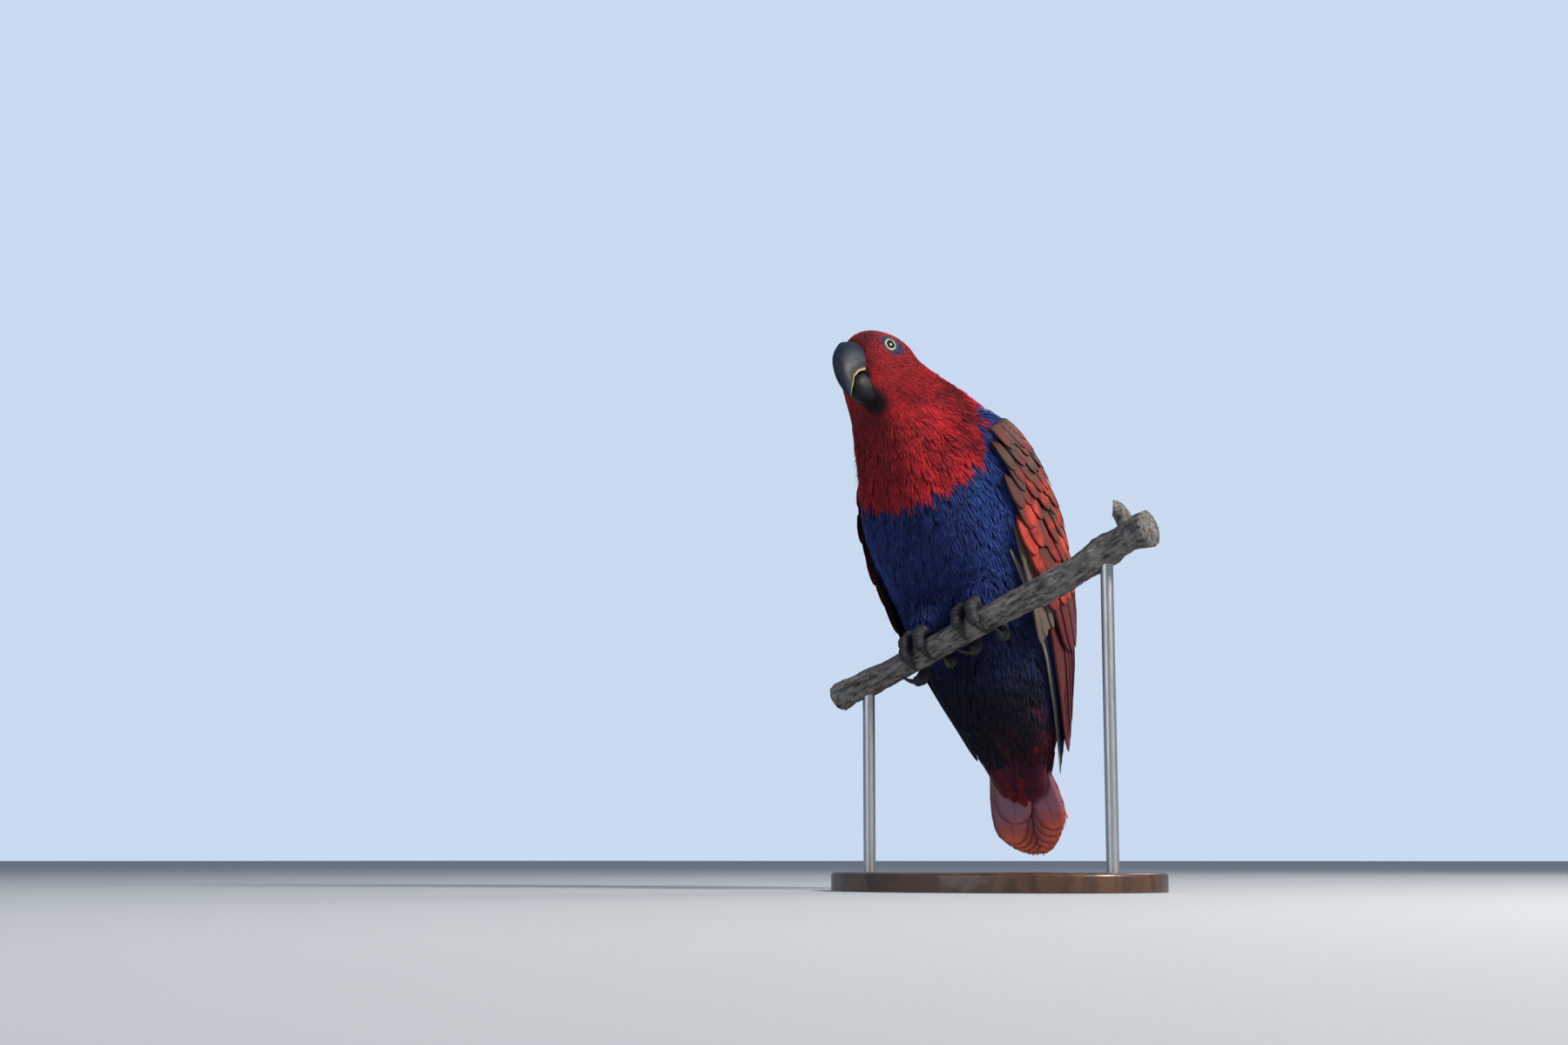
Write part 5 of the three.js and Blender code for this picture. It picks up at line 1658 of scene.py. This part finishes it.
def bark_material(settings):
    material, nodes, shader = new_material("Bark", roughness=0.85, specular=0.25)
    level = nodes.object_place(turn=(0, PERCH_SLOPE, 0))
    stretch = nodes.add("ShaderNodeMapping")
    nodes.link(level, stretch.inputs[0])
    stretch.inputs["Scale"].default_value = (0.22, 1, 1)
    along_branch = stretch.outputs[0]
    plain = nodes.object_place()
    ridges = nodes.noise(along_branch, 400, 7, 0.76, 0.2)
    patches = nodes.noise(plain, 85, 6, 0.7, 0.4)
    grain = nodes.noise(plain, 900, 3)
    base = nodes.mix(nodes.range(ridges, 0.35, 0.65), (0.028, 0.026, 0.025, 1), settings.bark[:])
    grey = nodes.mix(nodes.times(nodes.range(patches, 0.5, 0.66), 0.6), base, (0.25, 0.235, 0.21, 1))
    crust = nodes.times(nodes.range(patches, 0.56, 0.66), nodes.range(ridges, 0.42, 0.58))
    lichen = nodes.mix(nodes.times(crust, 0.8), grey, settings.lichen[:])
    speckle = nodes.mix(nodes.times(nodes.range(grain, 0.6, 0.75), 0.35), lichen, (0.5, 0.5, 0.45, 1))
    height = nodes.plus(ridges, nodes.times(grain, 0.25))
    nodes.paint(shader, speckle, nodes.range(ridges, 0.3, 0.7, 0.95, 0.7), (height, 1.0, 0.0024))
    return material


class PARROT_OT_perch(bpy.types.Operator):
    """The cut length of branch with the stub of a side twig"""

    bl_idname = "parrot.perch"
    bl_label = "Perch"

    def execute(self, context):
        settings = context.scene.bird_parts
        stations, sides = 230, 40
        a = np.linspace(PERCH_LOW, PERCH_HIGH, stations)
        away = np.maximum(0, np.abs(a) - FOOT_SPACING - 16) / 100
        centres = perch_point(a, 0, 2.6 * away * np.sin(a / 17))
        centres = centres + PERCH_FRONT * (1.8 * away * np.cos(a / 13))[:, None]
        radii = PERCH_RADIUS + PERCH_END_SWELL * away + 0.9 * away * np.sin(a / 6)
        main = self.rough(centres, radii, sides, 1.1)
        from_place = perch_point(FORK_AT, 0, 0)
        t = np.linspace(0, 1, 40)
        bow = np.sin(t * math.pi / 2)
        twig = from_place + np.stack([-FORK_LENGTH * 0.5 * t, -6 * t, FORK_LENGTH * bow], -1)
        side_twig = self.rough(twig, mix(FORK_RADIUS + 1.6, FORK_RADIUS, bow), 28, 0.35)
        parts = [loft_part("perch_main", main), loft_part("perch_twig", side_twig)]
        for part in parts:
            put_outward(part)
        perch = joined("perch_bark", parts)
        bpy.ops.object.shade_smooth()
        dress(perch, bark_material(settings), "bark", "perch")
        return {"FINISHED"}

    def rough(self, centres, radii, sides, amount):
        """Rings of a branch with long ridges, small warts and a few knots."""
        rings = tube_rings(centres, radii, sides, PERCH_FRONT)
        shape = rings.shape
        flat = rings.reshape(-1, 3)
        out = unit(flat - np.repeat(centres, sides, axis=0))
        rise = np.empty(len(flat))
        for i, p in enumerate(flat.tolist()):
            ridge = noise.noise(Vector((p[0] * 0.09, p[1] * 0.42, p[2] * 0.3)))
            wart = noise.noise(Vector(p) * 0.55)
            knot = max(0.0, noise.noise(Vector(p) * 0.06 + Vector((3.1, 0.4, 7.7))) - 0.28)
            rise[i] = 0.8 * ridge + 0.45 * wart + 4.0 * knot
        a = flat @ PERCH_ALONG
        calm = smooth_step(FOOT_SPACING + 18, FOOT_SPACING + 34, np.abs(a)) * 0.7 + 0.3
        return (flat + out * (rise * amount * calm)[:, None]).reshape(shape)


class PARROT_OT_stand(bpy.types.Operator):
    """The stained wooden base and its two brushed rods"""

    bl_idname = "parrot.stand"
    bl_label = "Stand"

    def execute(self, context):
        settings = context.scene.bird_parts
        self.base(settings)
        self.rods(settings)
        return {"FINISHED"}

    def base(self, settings):
        base = upright_cylinder("stand_base_wood", 160, BASE_RADIUS, 0, BASE_THICKNESS)
        bpy.ops.object.mode_set(mode="EDIT")
        bpy.ops.mesh.select_all(action="SELECT")
        bpy.ops.transform.resize(value=(BASE_STRETCH, 1, 1))
        bpy.ops.mesh.select_all(action="DESELECT")
        bpy.ops.object.mode_set(mode="OBJECT")
        for edge in base.data.edges:
            heights = [base.data.vertices[v].co.z for v in edge.vertices]
            edge.select = min(heights) > (BASE_THICKNESS - 0.1) * MM
        bpy.ops.object.mode_set(mode="EDIT")
        bpy.ops.mesh.bevel(offset=BASE_EDGE * MM, segments=6, affect="EDGES")
        bpy.ops.object.mode_set(mode="OBJECT")
        bpy.ops.object.shade_smooth_by_angle(angle=math.radians(32))
        dress(base, self.wood(settings), "stand_wood", "stand_base")

    def wood(self, settings):
        material, nodes, shader = new_material("Stained wood", roughness=0.4, specular=0.45, coat=0.25)
        place = nodes.object_place(scale=(0.35, 5, 1))
        rings = nodes.noise(place, 16, 6, 0.6, 1.4)
        pores = nodes.noise(nodes.object_place(scale=(6, 160, 1)), 12, 3)
        dark = nodes.mix(1.0, settings.wood[:], (0.4, 0.36, 0.34, 1), "MULTIPLY")
        colour = nodes.mix(nodes.range(rings, 0.35, 0.65), dark, settings.wood[:])
        colour = nodes.mix(nodes.times(nodes.range(pores, 0.58, 0.7), 0.6), colour, (0.02, 0.01, 0.006, 1))
        nodes.paint(shader, colour, nodes.range(rings, 0.3, 0.7, 0.45, 0.34), (pores, 0.15, 0.0003))
        return material

    def rods(self, settings):
        material, nodes, shader = new_material("Brushed metal", roughness=0.34, metallic=1.0)
        place = nodes.object_place(scale=(60, 60, 1))
        brush = nodes.noise(place, 60, 4, 0.7)
        colour = nodes.mix(brush, settings.metal[:], (0.4, 0.4, 0.4, 1))
        nodes.paint(shader, colour, nodes.range(brush, 0.3, 0.7, 0.26, 0.42), (brush, 0.08, 0.0002))
        for name, a in ROD_PLACES.items():
            top = perch_point(a, 0, 0) + BIRD
            low = BASE_THICKNESS + 0.3
            high = top[2] - PERCH_RADIUS * 0.6
            rod = upright_cylinder(name + "_metal", 40, ROD_RADIUS, low, high, top[0], top[1])
            bpy.ops.object.mode_set(mode="EDIT")
            bpy.ops.mesh.select_all(action="DESELECT")
            bpy.ops.object.mode_set(mode="OBJECT")
            for face in rod.data.polygons:
                face.select = face.normal.z < -0.9
            bpy.ops.object.mode_set(mode="EDIT")
            bpy.ops.mesh.select_mode(type="FACE")
            bpy.ops.mesh.extrude_region_move(TRANSFORM_OT_translate={"value": (0, 0, 0)})
            bpy.ops.transform.resize(value=(1.7, 1.7, 1))
            bpy.ops.mesh.extrude_region_move(TRANSFORM_OT_translate={"value": (0, 0, 0.0001)})
            bpy.ops.object.mode_set(mode="OBJECT")
            bpy.ops.object.shade_smooth_by_angle(angle=math.radians(32))
            dress(rod, material, "stand_metal", name)


class PARROT_OT_stage(bpy.types.Operator):
    """Camera, floor and soft light"""

    bl_idname = "parrot.stage"
    bl_label = "Stage"

    def execute(self, context):
        stage = context.scene.parrot_stage
        self.camera(stage)
        self.floor(stage)
        self.lights(stage)
        context.scene.view_settings.view_transform = "Standard"
        return {"FINISHED"}

    def camera(self, stage):
        rise = math.asin(CAMERA_BELOW / CAMERA_DISTANCE)
        level = math.cos(rise)
        place = BIRD + CAMERA_DISTANCE * np.array(
            (math.sin(CAMERA_AZIMUTH) * level, -math.cos(CAMERA_AZIMUTH) * level, -math.sin(rise)))
        data = bpy.data.cameras.new("Camera")
        camera = bpy.data.objects.new("Camera", data)
        bpy.context.scene.collection.objects.link(camera)
        data.lens = stage.lens
        data.sensor_width = 36
        data.sensor_fit = "HORIZONTAL"
        data.clip_start = 0.05
        azimuth = CAMERA_AZIMUTH + math.atan(CAMERA_ASIDE / CAMERA_DISTANCE)
        camera.location = Vector((place * MM).tolist())
        camera.rotation_euler = (math.radians(90 + CAMERA_TILT), 0, azimuth)
        bpy.context.scene.camera = camera

    def floor(self, stage):
        bpy.ops.object.select_all(action="DESELECT")
        bpy.ops.mesh.primitive_plane_add(size=60, location=(0, 0, -0.0002))
        floor = bpy.context.active_object
        floor.name = "floor"
        material, nodes, shader = new_material("Pale floor", roughness=0.8, specular=0.2)
        cloud = nodes.noise(nodes.object_place(), 3, 3)
        nodes.link(nodes.mix(cloud, stage.floor[:], (0.45, 0.475, 0.5, 1)), shader.inputs["Base Color"])
        wear(floor, material)

    def lights(self, stage):
        world = bpy.data.worlds.new("Even sky")
        world.use_nodes = True
        background = world.node_tree.nodes["Background"]
        background.inputs["Color"].default_value = stage.sky
        background.inputs["Strength"].default_value = SKY_LIGHT
        seen = world.node_tree.nodes.new("ShaderNodeBackground")
        seen.inputs["Color"].default_value = stage.sky
        seen.inputs["Strength"].default_value = SKY_SEEN
        path = world.node_tree.nodes.new("ShaderNodeLightPath")
        choose = world.node_tree.nodes.new("ShaderNodeMixShader")
        output = world.node_tree.nodes["World Output"]
        world.node_tree.links.new(path.outputs["Is Camera Ray"], choose.inputs[0])
        world.node_tree.links.new(background.outputs[0], choose.inputs[1])
        world.node_tree.links.new(seen.outputs[0], choose.inputs[2])
        world.node_tree.links.new(choose.outputs[0], output.inputs["Surface"])
        bpy.context.scene.world = world
        for name, place, size, power, colour in LIGHTS:
            data = bpy.data.lights.new(name, "AREA")
            data.shape = "DISK"
            data.size = size
            data.energy = power
            data.color = colour
            light = bpy.data.objects.new(name, data)
            light.location = place
            light.rotation_euler = (Vector(LIGHTS_AIM) - Vector(place)).to_track_quat("-Z", "Y").to_euler()
            bpy.context.scene.collection.objects.link(light)


class PARROT_PT_panel(bpy.types.Panel):
    """Sidebar panel that lists the steps"""

    bl_label = "Perched parrot"
    bl_idname = "PARROT_PT_panel"
    bl_space_type = "VIEW_3D"
    bl_region_type = "UI"
    bl_category = "Parrot"

    def draw(self, context):
        for step in STEPS:
            self.layout.operator(step.bl_idname)
        for group in (context.scene.plumage, context.scene.bird_parts, context.scene.parrot_stage):
            for name in group.__annotations__:
                self.layout.prop(group, name)


STEPS = (
    PARROT_OT_stage, PARROT_OT_stand, PARROT_OT_perch, PARROT_OT_skin, PARROT_OT_bill,
    PARROT_OT_eyes, PARROT_OT_feet, PARROT_OT_body_feathers, PARROT_OT_wings, PARROT_OT_tail,
)
CLASSES = (PlumageSettings, BodySettings, StageSettings, *STEPS, PARROT_PT_panel)


def register():
    for item in CLASSES:
        bpy.utils.register_class(item)
    bpy.types.Scene.plumage = PointerProperty(type=PlumageSettings)
    bpy.types.Scene.bird_parts = PointerProperty(type=BodySettings)
    bpy.types.Scene.parrot_stage = PointerProperty(type=StageSettings)


def unregister():
    del bpy.types.Scene.plumage
    del bpy.types.Scene.bird_parts
    del bpy.types.Scene.parrot_stage
    for item in reversed(CLASSES):
        bpy.utils.unregister_class(item)


def main():
    register()
    bpy.ops.parrot.stage()
    bpy.ops.parrot.stand()
    bpy.ops.parrot.perch()
    bpy.ops.parrot.skin()
    bpy.ops.parrot.bill()
    bpy.ops.parrot.eyes()
    bpy.ops.parrot.feet()
    bpy.ops.parrot.body_feathers()
    bpy.ops.parrot.wings()
    bpy.ops.parrot.tail()
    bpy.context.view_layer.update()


if __name__ == "__main__":
    main()
